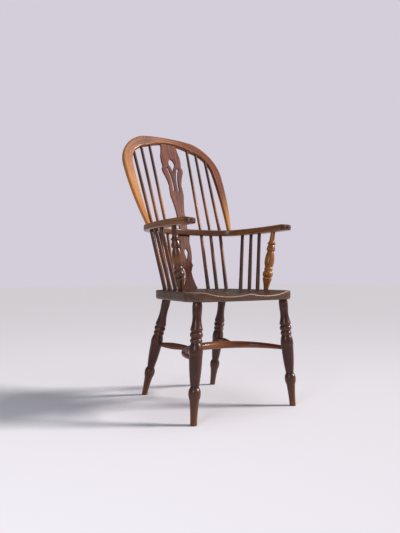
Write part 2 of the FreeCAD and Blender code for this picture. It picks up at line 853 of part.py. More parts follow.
LEG_FEET = {
    "front": ((s["front_foot_x"], -s["front_foot_forward"], as_size(0)),
              (s["front_leg_top_x"], -s["front_leg_top_forward"], seat_underside)),
    "rear": ((s["rear_foot_x"], s["rear_foot_back"], as_size(0)),
             (s["rear_leg_top_x"], s["rear_leg_top_back"], seat_underside)),
}


def leg_ends(row, side):
    foot, top = LEG_FEET[row]
    return mirrored(foot, side), mirrored(top, side)


def turned_leg(name, row, side):
    foot, top = leg_ends(row, side)
    body = new_body(f"{name}_turning")
    sketch = leg_profile(layout(f"{name}_length", distance(foot, top))).draw(
        new_sketch(body, f"{name}_profile", "XZ_Plane"))
    turn(body, sketch, f"{name}_revolution")
    place_along(body, foot, top)
    return body


def leg_socket(name, row, side):
    """The tool for a leg's tapered socket in the seat, with room for glue."""
    foot, top = leg_ends(row, side)
    clearance = s["joint_clearance"]
    start = beyond(foot, top, -s["leg_seat_entry"])
    return rod(f"{name}_socket", start, beyond(foot, top, s["leg_tenon_length"]),
               s["leg_top_radius"] + clearance, s["leg_tenon_radius"] + clearance)


# The bent stretcher runs on a round path through the axes of the front legs

stretcher_leg = layout_point("stretcher_leg", between(*LEG_FEET["front"], s["stretcher_height"]))
spur_leg = layout_point("spur_leg", between(*LEG_FEET["rear"], s["stretcher_height"]))
stretcher_run = s["stretcher_back"] - stretcher_leg[1]
stretcher_radius = layout("stretcher_radius", (stretcher_leg[0] * stretcher_leg[0]
                                               + stretcher_run * stretcher_run) / (stretcher_run * 2))
stretcher_centre_y = layout("stretcher_centre_y", s["stretcher_back"] - stretcher_radius)
stretcher_end_y = stretcher_leg[1] + s["stretcher_setback"]
stretcher_end = layout_point("stretcher_end", (
    root(stretcher_radius * stretcher_radius
         - (stretcher_end_y - stretcher_centre_y) * (stretcher_end_y - stretcher_centre_y)),
    stretcher_end_y, s["stretcher_height"]))
spur_meet = layout_point("spur_meet", (
    s["spur_meet_x"],
    stretcher_centre_y + root(stretcher_radius * stretcher_radius - s["spur_meet_x"] * s["spur_meet_x"]),
    s["stretcher_height"]))
STRETCHER_STATIONS = 12


def stretcher_arc():
    """The bent part: a loft through circles square to the arc, thickest in the middle."""
    body = new_body("crinoline_bend")
    end_angle = layout("stretcher_end_angle",
                       angle_of(stretcher_end[0], stretcher_end[1] - stretcher_centre_y))
    rings = []
    for station in range(STRETCHER_STATIONS + 1):
        share = station / STRETCHER_STATIONS
        angle = end_angle + (as_size(180) - end_angle * 2) * share
        swell = math.sin(math.pi * share)
        radius = s["stretcher_end_radius"] + (s["stretcher_mid_radius"] - s["stretcher_end_radius"]) * swell
        sketch = body.newObject("Sketcher::SketchObject", f"bend_ring_{station}")
        sketch.AttachmentSupport = [(origin_plane(body, "XZ_Plane"), "")]
        sketch.MapMode = "FlatFace"
        reach_x = stretcher_radius * cosine(angle)
        reach_y = stretcher_centre_y + stretcher_radius * sine(angle)
        place = f"vector({reach_x.text}; Sizes.stretcher_height; -{reach_y.text})"
        sketch.setExpression("AttachmentOffset",
                             f"placement({place}; rotation(vector(0; 1; 0); {angle.text}))")
        circle = sketch.addGeometry(Part.Circle(FreeCAD.Vector(0, 0, 0), UPRIGHT, radius.number))
        sketch.addConstraint(Sketcher.Constraint("Coincident", -1, 1, circle, 3))
        constraint = sketch.addConstraint(Sketcher.Constraint("Radius", circle, radius.number))
        sketch.setExpression(f"Constraints[{constraint}]", radius.text)
        rings.append(sketch)
    loft = body.newObject("PartDesign::AdditiveLoft", "bend")
    loft.Profile = rings[0]
    loft.Sections = [(ring, [""]) for ring in rings[1:]]
    return body


def stretcher_end_rod(name, side, inside, depth, radius):
    """A bar on the line of a stretcher's end, from inside its bend to past the leg's axis."""
    start, leg = mirrored(stretcher_end, side), mirrored(stretcher_leg, side)
    return rod(name, beyond(leg, start, inside), beyond(start, leg, depth), radius)


def stretcher_tenon(name, side):
    return stretcher_end_rod(name, side, s["stretcher_setback"] / 2, s["stretcher_tenon_past_axis"],
                             s["stretcher_tenon_radius"])


def stretcher_socket(name, side):
    return stretcher_end_rod(name, side, s["stretcher_setback"] / 2, s["stretcher_tenon_past_axis"],
                             s["stretcher_end_radius"] + s["joint_clearance"])


def spur_ends(side):
    leg, meet = mirrored(spur_leg, side), mirrored(spur_meet, side)
    length = distance(leg, meet)
    return leg, meet, length


def spur_turning(name, side):
    """A short spur, fuller in its middle, from its leg's axis to the bent stretcher."""
    leg, meet, length = spur_ends(side)
    length = layout(f"{name}_length", length)
    start = s["vase_radius"] - s["spur_tenon_length"]
    end = length - s["stretcher_mid_radius"] + s["spur_stretcher_tenon"]
    belly = length / 2
    body = new_body(name)
    outline = Outline((0, start))
    outline.line(s["spur_end_radius"], start)
    outline.line(s["spur_end_radius"], s["vase_radius"])
    shoulder = length - s["stretcher_mid_radius"]
    for reach, height in ((s["spur_belly_radius"], belly), (s["spur_end_radius"], shoulder)):
        round_edge = bulge_radius(outline.corners[-1], (reach, height), s["spur_fullness"])
        outline.arc(reach, height, round_edge, RIGHT)
    outline.line(s["spur_end_radius"], end)
    outline.line(0, end)
    turn(body, outline.draw(new_sketch(body, f"{name}_profile", "XZ_Plane")), f"{name}_revolution")
    place_along(body, leg, meet)
    return body


def spur_socket(name, side):
    leg, meet, length = spur_ends(side)
    start = beyond(meet, leg, s["spur_tenon_length"] - s["vase_radius"])
    end = beyond(leg, meet, s["spur_stretcher_tenon"] - s["stretcher_mid_radius"])
    return rod(name, start, end, s["spur_end_radius"] + s["joint_clearance"])


spur_sockets = {}
for side_name, side in SIDES.items():
    spur_sockets[side] = spur_socket(f"spur_socket_{side_name}", side)
    pieces.append(spur_turning(f"stretcher_spur_{side_name}", side))
crinoline = joined("crinoline_with_tenons", [stretcher_arc()] + [
    stretcher_tenon(f"crinoline_tenon_{name}", side) for name, side in SIDES.items()])
pieces.append(cut_out("crinoline_stretcher", crinoline, list(spur_sockets.values())))

leg_tools = []
for row in LEG_FEET:
    for side_name, side in SIDES.items():
        name = f"{row}_leg_{side_name}"
        foot = leg_ends(row, side)[0]
        room = s["floor_room"]
        floor = block(f"{name}_floor", (foot[0] - room, foot[1] - room, -room), (room * 2, room * 2, room))
        if row == "front":
            socket = stretcher_socket(f"{name}_stretcher_socket", side)
        else:
            socket = spur_sockets[side]
        pieces.append(cut_out(name, turned_leg(name, row, side), [floor, socket]))
        leg_tools.append(leg_socket(name, row, side))


# The arm supports

def support_profile(length):
    """Half the outline of a turned arm support, from tenon to tenon."""
    gap = s["turning_gap"]
    support = Turning(-s["stick_socket_depth"], s["support_tenon_radius"])
    support.line(s["support_tenon_radius"], s["stick_socket_depth"])
    support.line(s["support_foot_radius"], gap)
    support.curve(s["cup_rim_radius"], s["cup_height"], s["cup_hollow"], LEFT)
    support.line(s["cup_rim_radius"], s["cup_rim_width"])
    support.line(s["lower_gap_radius"], gap)
    support.bead(s["lower_gap_radius"], s["lower_bead_radius"], s["lower_bead_width"])
    support.line(s["lower_gap_radius"], gap)
    support.bead(s["lower_gap_radius"], s["lower_ring_radius"], s["lower_ring_width"])
    support.line(s["support_vase_foot_radius"], gap)
    support.curve(s["support_vase_radius"], s["support_vase_rise"], s["support_vase_fullness"])
    support.curve(s["support_neck_radius"], s["support_vase_fall"], s["support_vase_shoulder"])
    support.curve(s["upper_bead_radius"], s["upper_bead_rise"], s["upper_bead_fullness"])
    support.curve(s["upper_gap_radius"], s["upper_bead_fall"], s["upper_bead_fullness"])
    support.curve(s["collar_radius"], s["collar_rise"], s["upper_bead_fullness"])
    support.curve(s["collar_top_radius"], s["collar_fall"], s["collar_hollow"], LEFT)
    support.line(s["support_top_radius"], length - support.height)
    return support.finish(s["support_top_radius"], length + s["bow_socket_depth"])


support_sockets = {"seat": [], "bow": []}
for side_name, side in SIDES.items():
    name = f"arm_support_{side_name}"
    foot, top = mirrored(support_seat, side), mirrored(support_bow, side)
    body = new_body(name)
    profile = support_profile(layout(f"{name}_length", distance(foot, top)))
    turn(body, profile.draw(new_sketch(body, f"{name}_profile", "XZ_Plane")), f"{name}_revolution")
    place_along(body, foot, top)
    pieces.append(body)
    clearance = s["joint_clearance"]
    support_sockets["seat"].append(rod(f"{name}_seat_socket", beyond(top, foot, s["stick_socket_depth"]),
                                       beyond(foot, top, -distance(foot, top) + s["turning_gap"]),
                                       s["support_foot_radius"] + clearance))
    support_sockets["bow"].append(rod(f"{name}_bow_socket", beyond(foot, top, -s["bow_socket_depth"]),
                                      beyond(foot, top, s["bow_socket_depth"]),
                                      s["support_top_radius"] + clearance))


# The splats

lower_splat_foot = (as_size(0), layout("lower_splat_foot_y", seat_plan.back_ring(as_size(0))), s["seat_top"])
lower_splat_top = (as_size(0), s["bow_back"] - s["lower_splat_head_forward"], bow_underside)
upper_splat_foot = (as_size(0), s["bow_back"], s["bow_top"])
upper_splat_top = layout_point("upper_splat_top", hoop_point(as_size(0), hoop_inner.crest))


def lean_between(name, start, end):
    """The angle by which a splat leans back from the upright, in degrees."""
    return layout(name, angle_of(end[2] - start[2], end[1] - start[1]))


def splat_edge(prefix, stations, foot_housing, length, head_housing):
    """A splat's outline, from the middle of its foot up one side and down the other."""
    first, last = stations[0][0], stations[-1][0]
    outline = Outline((0, -foot_housing))
    outline.line(s[f"{prefix}_{first}_half"], -foot_housing)
    height = s[f"{prefix}_{first}_rise"]
    outline.line(s[f"{prefix}_{first}_half"], height)
    for (name, _, _, value), (following, _, _, _) in zip(stations, stations[1:]):
        height = height + s[f"{prefix}_{following}_rise"]
        end = (s[f"{prefix}_{following}_half"], height)
        if value == 0.0:
            outline.line(*end)
            continue
        swell = s[f"{prefix}_{name}_swell"]
        outward = value > 0
        depth = swell if outward else -swell
        outline.arc(*end, bulge_radius(outline.corners[-1], end, depth), RIGHT if outward else LEFT)
    outline.line(s[f"{prefix}_{last}_half"], length + head_housing)
    outline.line(0, length + head_housing)
    return outline.mirror()


def pierced_drop(prefix):
    """A tear-shaped opening with its point down."""
    tip = (as_size(0), s[f"{prefix}_tip"])
    widest = (s[f"{prefix}_half"], tip[1] + s[f"{prefix}_rise"])
    top = (as_size(0), widest[1] + s[f"{prefix}_fall"])
    outline = Outline(tip)
    outline.arc(*widest, bulge_radius(tip, widest, s[f"{prefix}_flank"]), LEFT)
    outline.arc(*top, bulge_radius(widest, top, s[f"{prefix}_crown"]), RIGHT)
    return outline.mirror()


def pierced_slot(side):
    """One of the two long slots: its inner edge up, its outer edge down, round at both ends."""
    names = [station[0] for station in SLOTS]
    height, inner, outer = as_size(0), [], []
    for name in names:
        height = height + s[f"slot_{name}_rise"]
        inner.append((s[f"slot_{name}_inner"] * side, height))
        outer.append((s[f"slot_{name}_outer"] * side, height))
    bows = [s[f"slot_{name}_bow"] for name in names[:-1]]
    outline = Outline(inner[0])
    for start, end, bow in zip(inner, inner[1:], bows):
        outline.arc(*end, bulge_radius(start, end, bow), side)
    outline.arc(*outer[-1], bulge_radius(inner[-1], outer[-1], s["slot_end_swell"]), side)
    for end, start, bow in reversed(list(zip(outer, outer[1:], bows))):
        outline.arc(*end, bulge_radius(start, end, bow), -side)
    outline.arc(*inner[0], bulge_radius(outer[0], inner[0], s["slot_end_swell"]), side)
    return outline


def splat_board(name, outline, openings, foot, lean):
    body = new_body(name)
    sketch = outline.draw(new_sketch(body, f"{name}_outline", "XZ_Plane"))
    pad(body, sketch, f"{name}_thickness", s["splat_thickness"], middle=True)
    doc.recompute()
    for index, opening in enumerate(openings):
        sketch = opening.draw(new_sketch(body, f"{name}_opening_{index}", "XZ_Plane"))
        pocket = body.newObject("PartDesign::Pocket", f"{name}_piercing_{index}")
        pocket.Profile = sketch
        pocket.Type = "ThroughAll"
        pocket.SideType = "Symmetric"
    place_leaning(body, foot, lean)
    return body


def splat_housing(name, foot, lean, half, start, length):
    """The tool for the mortise that takes one end of a splat."""
    clearance = s["joint_clearance"]
    width = (half + clearance) * 2
    depth = s["splat_thickness"] + clearance * 2
    item = primitive("Part::Box", name, Length=width, Width=depth, Height=length)
    place = f"vector({foot[0].text}; {foot[1].text}; {foot[2].text})"
    corner = f"vector(-{half.text} - {clearance.text}; -{depth.text} / 2; {start.text})"
    item.setExpression("Placement", f"placement({place}; rotation(vector(1; 0; 0); -{lean.text})) * "
                                    f"placement({corner}; rotation(vector(0; 0; 1); 0))")
    return item


lower_lean = lean_between("lower_splat_lean", lower_splat_foot, lower_splat_top)
lower_length = layout("lower_splat_length", distance(lower_splat_foot, lower_splat_top))
upper_lean = lean_between("upper_splat_lean", upper_splat_foot, upper_splat_top)
upper_length = layout("upper_splat_length", distance(upper_splat_foot, upper_splat_top))
upper_outline = splat_edge("upper_splat", UPPER_SPLAT, s["splat_bow_housing"], upper_length,
                           s["splat_hoop_housing"])
lower_outline = splat_edge("lower_splat", LOWER_SPLAT, s["splat_seat_housing"], lower_length,
                           s["splat_bow_housing"])
pieces.append(splat_board("upper_splat", upper_outline,
                          [pierced_drop("pierced_drop"), pierced_slot(LEFT), pierced_slot(RIGHT)],
                          upper_splat_foot, upper_lean))
pieces.append(splat_board("lower_splat", lower_outline, [pierced_drop("lower_drop")],
                          lower_splat_foot, lower_lean))

housings = {
    "seat": splat_housing("lower_splat_seat_housing", lower_splat_foot, lower_lean,
                          s["lower_splat_foot_half"], -s["splat_seat_housing"],
                          s["splat_seat_housing"] * 2),
    "bow_under": splat_housing("lower_splat_bow_housing", lower_splat_foot, lower_lean,
                               s["lower_splat_head_half"], lower_length - s["splat_bow_housing"],
                               s["splat_bow_housing"] * 2),
    "bow_over": splat_housing("upper_splat_bow_housing", upper_splat_foot, upper_lean,
                              s["upper_splat_foot_half"], -s["splat_bow_housing"],
                              s["splat_bow_housing"] * 2),
    "hoop": splat_housing("upper_splat_hoop_housing", upper_splat_foot, upper_lean,
                          s["upper_splat_head_half"], upper_length - s["splat_hoop_housing"],
                          s["splat_hoop_housing"] * 2),
}


# The seat

def on_level(edge, height):
    return all(abs(vertex.Point.z - height) < 0.01 for vertex in edge.Vertexes)


def seat_plank():
    body = new_body("seat_plank")
    sketch = new_sketch(body, "seat_outline", rise=seat_underside)
    plan = seat_plan
    outline = Outline((0, -s["seat_front_edge"]))
    outline.arc(*plan.corner_front, s["seat_front_radius"], RIGHT)
    outline.arc(*plan.corner_side, s["seat_corner_radius"], RIGHT)
    outline.line(*plan.side)
    outline.arc(*plan.turn, s["seat_shoulder_radius"], RIGHT)
    outline.arc(0, s["seat_back_edge"], s["seat_back_radius"], RIGHT)
    outline.mirror().draw(sketch)
    pad(body, sketch, "seat_thickness_pad", s["seat_thickness"])
    top, underside = s["seat_top"].number, seat_underside.number
    round_edges(body, "seat_top_round", s["seat_top_rounding"], lambda edge: on_level(edge, top))
    round_edges(body, "seat_bottom_round", s["seat_bottom_rounding"], lambda edge: on_level(edge, underside))
    return body


def saddle_tools():
    """Flattened balls that hollow the seat."""
    tools = []
    spread = s["hollow_spread"]
    for name, kind, x in (("dish", "dish", as_size(0)), ("hollow_left", "hollow", spread),
                          ("hollow_right", "hollow", -spread)):
        ball = primitive("Part::Ellipsoid", f"saddle_{name}", Radius1=s[f"{kind}_height"],
                         Radius2=s[f"{kind}_half_width"], Radius3=s[f"{kind}_half_length"])
        bind(ball, "Placement.Base.x", x)
        bind(ball, "Placement.Base.y", -s[f"{kind}_centre_forward"])
        bind(ball, "Placement.Base.z", s["seat_top"] + s[f"{kind}_height"] - s[f"{kind}_depth"])
        tools.append(ball)
    return tools


pieces.append(cut_out("seat", seat_plank(), saddle_tools() + stick_tools["seat"] + support_sockets["seat"]
                      + leg_tools + [housings["seat"]]))


# The arm bow

def bow_board():
    body = new_body("arm_bow_board")
    sketch = new_sketch(body, "arm_bow_outline", rise=bow_underside)
    outer = bow_plan.edge_points(half_bow)
    inner = bow_plan.edge_points(-half_bow)
    reach = s["bow_side_radius"]
    end = bow_plan.ring(as_size(0), bow_plan.side, reach, bow_plan.tip_out)
    tip = (end[0] + half_bow * bow_plan.tip_out[1], end[1] - half_bow * bow_plan.tip_out[0])
    outline = Outline(inner[0])
    outline.arc(*inner[1], s["bow_back_radius"] - half_bow, LEFT)
    outline.arc(*inner[2], s["bow_corner_radius"] - half_bow, LEFT)
    outline.arc(*inner[3], s["bow_side_radius"] - half_bow, LEFT)
    outline.arc(*tip, half_bow, RIGHT)
    outline.arc(*outer[3], half_bow, RIGHT)
    outline.arc(*outer[2], s["bow_side_radius"] + half_bow, RIGHT)
    outline.arc(*outer[1], s["bow_corner_radius"] + half_bow, RIGHT)
    outline.arc(*outer[0], s["bow_back_radius"] + half_bow, RIGHT)
    outline.mirror().draw(sketch)
    pad(body, sketch, "arm_bow_pad", s["bow_thickness"])
    top, underside = s["bow_top"].number, bow_underside.number
    round_edges(body, "arm_bow_rounding", s["bow_rounding"],
                lambda edge: on_level(edge, top) or on_level(edge, underside))
    return body


# The top hoop

def hoop_arch():
    """The bent hoop, sketched upright, thinned towards its feet and rounded."""
    body = new_body("top_hoop_arch")
    sketch = new_sketch(body, "top_hoop_outline", "XZ_Plane")
    outline = Outline((0, hoop_outer.crest))
    outline.arc(*hoop_outer.turn, hoop_outer.crest_radius, LEFT)
    outline.arc(hoop_outer.half_width, hoop_outer.shoulder[1], hoop_outer.shoulder_radius, LEFT)
    outline.arc(hoop_outer.foot, 0, hoop_outer.side_radius, LEFT * hoop_outer.bows_out)
    outline.line(hoop_inner.foot, 0)
    outline.arc(hoop_inner.half_width, hoop_inner.shoulder[1], hoop_inner.side_radius,
                RIGHT * hoop_inner.bows_out)
    outline.arc(*hoop_inner.turn, hoop_inner.shoulder_radius, RIGHT)
    outline.arc(0, hoop_inner.crest, hoop_inner.crest_radius, RIGHT)
    outline.mirror().draw(sketch)
    pad(body, sketch, "top_hoop_pad", s["hoop_crest_depth"], middle=True)
    doc.recompute()
    half_crest, half_foot = s["hoop_crest_depth"] / 2, s["hoop_foot_depth"] / 2
    room = s["hoop_thinning_room"]
    sketch = new_sketch(body, "top_hoop_taper", "YZ_Plane")
    for face in SIDES.values():
        wedge = Outline((half_foot * face, 0))
        wedge.line(room * face, 0)
        wedge.line(room * face, hoop_outer.crest)
        wedge.line(half_crest * face, hoop_outer.crest)
        wedge.draw(sketch)
    pocket = body.newObject("PartDesign::Pocket", "top_hoop_thinning")
    pocket.Profile = sketch
    pocket.Type = "ThroughAll"
    pocket.SideType = "Symmetric"
    round_edges(body, "top_hoop_rounding", s["hoop_rounding"],
                lambda edge: edge.Length > s["hoop_foot_width"].number * 2)
    place_leaning(body, hoop_origin, s["hoop_lean"])
    return body


def hoop_tenon(name, side, clearance=0):
    foot = mirrored(hoop_point(s["hoop_foot_x"], as_size(0)), side)
    above = mirrored(hoop_point(s["hoop_foot_x"], s["hoop_tenon_length"]), side)
    return rod(name, above, beyond(above, foot, s["hoop_tenon_length"]), s["hoop_tenon_radius"] + clearance)


pieces.append(cut_out("arm_bow", bow_board(), stick_tools["bow"] + support_sockets["bow"]
                      + [housings["bow_under"], housings["bow_over"]]
                      + [hoop_tenon(f"hoop_socket_{name}", side, s["joint_clearance"])
                         for name, side in SIDES.items()]))
hoop = joined("top_hoop_with_tenons", [hoop_arch()] + [hoop_tenon(f"hoop_tenon_{name}", side)
                                                       for name, side in SIDES.items()])
pieces.append(cut_out("top_hoop", hoop, stick_tools["hoop"] + [housings["hoop"]]))

doc.recompute()

# Every object must have been worked out, and every piece must be a sound solid
failed = [item.Name for item in doc.Objects if {"Invalid", "Error"} & set(item.State)]
unsound = [piece.Label for piece in pieces
           if piece.Shape.isNull() or not piece.Shape.isValid() or len(piece.Shape.Solids) != 1]
if failed or unsound:
    raise RuntimeError(f"failed: {failed}, not one sound solid: {unsound}")

os.makedirs("parts", exist_ok=True)
for piece in pieces:
    piece.Shape.exportStep(f"parts/{piece.Label}.step")
    print(piece.Label, round(piece.Shape.Volume / 1000, 1), "cm3")
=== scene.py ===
"""The looks of a high-back Windsor armchair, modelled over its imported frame.

Each member is made as its maker makes it. Straight stock is turned or shaved to its
taper, bent members are bent over a former, boards are sawn to their outline and the
seat is hollowed, and then each is set in its place in the chair. The stock's own
coordinates stay with the piece as its "timber" attribute, so the grain runs along
every leg and round every bend.
"""
import logging
import math
from dataclasses import dataclass, field
from enum import Enum
from typing import Callable, Sequence

import bpy
import numpy as np
from mathutils import Matrix, Vector


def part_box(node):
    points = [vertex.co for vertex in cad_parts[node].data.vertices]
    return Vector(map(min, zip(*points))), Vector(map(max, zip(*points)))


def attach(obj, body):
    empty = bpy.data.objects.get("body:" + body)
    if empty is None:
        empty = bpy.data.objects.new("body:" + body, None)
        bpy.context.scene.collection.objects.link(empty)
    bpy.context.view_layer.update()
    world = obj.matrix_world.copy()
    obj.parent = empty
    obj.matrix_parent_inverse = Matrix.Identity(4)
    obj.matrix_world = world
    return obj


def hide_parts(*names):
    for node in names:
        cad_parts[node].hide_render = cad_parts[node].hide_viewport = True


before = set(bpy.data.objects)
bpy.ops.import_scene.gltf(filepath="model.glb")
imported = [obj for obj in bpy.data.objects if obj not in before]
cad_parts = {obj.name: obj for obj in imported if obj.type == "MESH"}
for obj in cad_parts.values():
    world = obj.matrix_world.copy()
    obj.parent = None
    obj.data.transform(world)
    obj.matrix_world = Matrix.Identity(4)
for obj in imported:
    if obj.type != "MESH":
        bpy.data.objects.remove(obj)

log = logging.getLogger("windsor_chair")

MM = 0.001
Colour = tuple[float, float, float]
Station = tuple[float, float, float]


class Side(Enum):
    """The sitter's sides: the sign is that of X."""

    RIGHT = -1
    LEFT = 1

    @property
    def word(self) -> str:
        """The word used in piece names."""
        return self.name.lower()

    def of(self, point: Vector) -> Vector:
        """The point on this side that answers to one given on the left side."""
        return Vector((point.x * self.value, point.y, point.z))


class Section(Enum):
    """The shape of the stock's end before it is drawn out."""

    ROUND = "round"
    SQUARED = "squared"


@dataclass(frozen=True)
class Finish:
    """How one kind of wood on the chair is coloured, figured, polished and worn, with painted light or shade
    on some pieces.
    """

    slot: str
    deep: Colour
    pale: Colour
    patch: Colour
    # The rubbed colour: wear on most pieces, painted light on the hoop and painted shade on the arm
    # supports.
    rubbed: Colour
    worn: Colour
    # The dark colour of dirt in pores and hollows; on the splats it is also painted shade on the opening
    # walls.
    grime: Colour = (0.012, 0.007, 0.005)
    ring_gap: float = 5 * MM
    ring_contrast: float = 0.35
    fibre: float = 0.5
    patchiness: float = 0.5
    wear: float = 0.6
    grime_depth: float = 0.8
    roughness: float = 0.36
    specular: float = 0.3
    coat: float = 0.2
    coat_roughness: float = 0.19
    relief: float = 0.35


# The hoop's pale gold rubbed colour is painted light, laid on its right-hand limb and its left foot.
HOOP_WOOD = Finish("hoop_wood", deep=(0.055, 0.013, 0.006), pale=(0.25, 0.066, 0.017),
                   patch=(0.075, 0.014, 0.008), rubbed=(0.50, 0.195, 0.042), worn=(0.46, 0.18, 0.05),
                   ring_gap=6 * MM, ring_contrast=0.55, fibre=0.8, roughness=0.32, specular=0.18,
                   coat_roughness=0.13)
SPLAT_WOOD = Finish("splat_wood", deep=(0.040, 0.009, 0.006), pale=(0.20, 0.046, 0.019),
                    patch=(0.060, 0.012, 0.009), rubbed=(0.33, 0.14, 0.07), worn=(0.28, 0.085, 0.03),
                    ring_gap=7 * MM, ring_contrast=0.6, fibre=0.8, patchiness=0.75, roughness=0.38,
                    specular=0.15, coat=0.14, coat_roughness=0.16)
STICK_WOOD = Finish("stick_wood", deep=(0.020, 0.006, 0.004), pale=(0.085, 0.022, 0.010),
                    patch=(0.026, 0.007, 0.005), rubbed=(0.40, 0.12, 0.024), worn=(0.22, 0.07, 0.022),
                    ring_gap=4 * MM, patchiness=0.7, wear=0.35, roughness=0.34)
ARM_WOOD = Finish("arm_wood", deep=(0.085, 0.029, 0.009), pale=(0.29, 0.112, 0.030),
                  patch=(0.14, 0.042, 0.014), rubbed=(0.075, 0.017, 0.008), worn=(0.44, 0.19, 0.055),
                  ring_gap=5 * MM, ring_contrast=0.5, roughness=0.30, specular=0.35, coat=0.35,
                  coat_roughness=0.17)
# The supports' dark rubbed colour is painted shade, laid over almost all of the right-hand support and a
# little of the left.
SUPPORT_WOOD = Finish("support_wood", deep=(0.15, 0.046, 0.010), pale=(0.46, 0.175, 0.033),
                      patch=(0.17, 0.050, 0.013), rubbed=(0.034, 0.010, 0.006), worn=(0.54, 0.24, 0.055),
                      ring_gap=4 * MM, wear=0.4, grime_depth=0.95, roughness=0.30)
SEAT_WOOD = Finish("seat_elm", deep=(0.036, 0.016, 0.010), pale=(0.12, 0.053, 0.031),
                   patch=(0.055, 0.019, 0.012), rubbed=(0.44, 0.27, 0.15), worn=(0.17, 0.085, 0.05),
                   ring_gap=11 * MM, ring_contrast=0.5, fibre=0.7, wear=0.4, roughness=0.40, coat=0.12,
                   coat_roughness=0.22, relief=0.6)
LEG_WOOD = Finish("leg_wood", deep=(0.016, 0.005, 0.003), pale=(0.070, 0.018, 0.009),
                  patch=(0.062, 0.013, 0.007), rubbed=(0.17, 0.056, 0.019), worn=(0.13, 0.040, 0.016),
                  ring_gap=5 * MM, patchiness=0.7, wear=0.4, roughness=0.30)
STRETCHER_WOOD = Finish("stretcher_wood", deep=(0.048, 0.012, 0.006), pale=(0.17, 0.044, 0.016),
                        patch=(0.08, 0.018, 0.009), rubbed=(0.34, 0.125, 0.042),
                        worn=(0.26, 0.085, 0.03), ring_gap=4 * MM, wear=0.4, roughness=0.30)


class Graph:
    """A node tree with short ways to add nodes and join them."""

    def __init__(self, tree: bpy.types.NodeTree) -> None:
        """Start from an empty tree."""
        self.tree = tree
        self.tree.nodes.clear()

    def node(self, kind: str, **settings: object) -> bpy.types.Node:
        """Add a node.

        Args:
            kind: The node's type name.
            settings: Attributes to set on it.

        Returns:
            The new node.
        """
        node = self.tree.nodes.new(kind)
        for name, value in settings.items():
            setattr(node, name, value)
        return node

    def feed(self, socket: bpy.types.NodeSocket, value: object) -> None:
        """Join a socket to another one, or set its plain value."""
        if isinstance(value, bpy.types.NodeSocket):
            self.tree.links.new(value, socket)
        elif isinstance(value, tuple) and socket.type == "RGBA":
            socket.default_value = (*value, 1.0)
        else:
            socket.default_value = value

    def add(self, kind: str, inputs: dict[str | int, object], **settings: object) -> bpy.types.Node:
        """Add a node and feed it.

        Args:
            kind: The node's type name.
            inputs: A socket or a plain value for each input, by its name or its place.
            settings: Attributes to set on it first.

        Returns:
            The new node.
        """
        node = self.node(kind, **settings)
        for label, value in inputs.items():
            self.feed(node.inputs[label], value)
        return node

    def math(self, operation: str, first: object, second: object = 0.0, third: object = 0.0,
             clamp: bool = False) -> bpy.types.NodeSocket:
        """Work out one number from up to three, each a socket or a plain value."""
        return self.add("ShaderNodeMath", {0: first, 1: second, 2: third}, operation=operation,
                        use_clamp=clamp).outputs[0]

    def scaled(self, place: bpy.types.NodeSocket, scale: Colour) -> bpy.types.NodeSocket:
        """Stretch or squeeze coordinates along each axis."""
        return self.add("ShaderNodeVectorMath", {0: place, 1: scale}, operation="MULTIPLY").outputs[0]

    def noise(self, place: bpy.types.NodeSocket, scale: float, detail: float = 3.0,
              roughness: float = 0.55) -> bpy.types.NodeSocket:
        """Cloudy values about one half, with this many lumps to a metre."""
        return self.add("ShaderNodeTexNoise", {"Vector": place, "Scale": scale, "Detail": detail,
                                               "Roughness": roughness}).outputs["Fac"]

    def ramp(self, value: object, low: float, high: float) -> bpy.types.NodeSocket:
        """Rise smoothly from 0 at low to 1 at high."""
        return self.add("ShaderNodeMapRange", {"Value": value, "From Min": low, "From Max": high},
                        interpolation_type="SMOOTHSTEP").outputs["Result"]

    def mix(self, share: object, first: object, second: object) -> bpy.types.NodeSocket:
        """Blend two colours, each a socket or a plain colour."""
        return self.add("ShaderNodeMix", {0: share, 6: first, 7: second}, data_type="RGBA").outputs[2]

    def attribute(self, name: str) -> bpy.types.Node:
        """Read an attribute that the piece carries."""
        return self.node("ShaderNodeAttribute", attribute_name=name)


def new_group(name: str, inputs: dict[str, str], outputs: dict[str, str]) -> tuple[Graph, dict, dict]:
    """Start a shader node group with named sockets.

    Args:
        name: The group's name.
        inputs: Socket type by name, such as NodeSocketFloat.
        outputs: The same for what it puts out.

    Returns:
        The group's graph, the sockets its inputs arrive at and those its outputs leave by.
    """
    tree = bpy.data.node_groups.new(name, "ShaderNodeTree")
    for label, kind in inputs.items():
        tree.interface.new_socket(name=label, in_out="INPUT", socket_type=kind)
    for label, kind in outputs.items():
        tree.interface.new_socket(name=label, in_out="OUTPUT", socket_type=kind)
    graph = Graph(tree)
    entry, leave = graph.node("NodeGroupInput"), graph.node("NodeGroupOutput")
    return graph, {s.name: s for s in entry.outputs}, {s.name: s for s in leave.inputs}


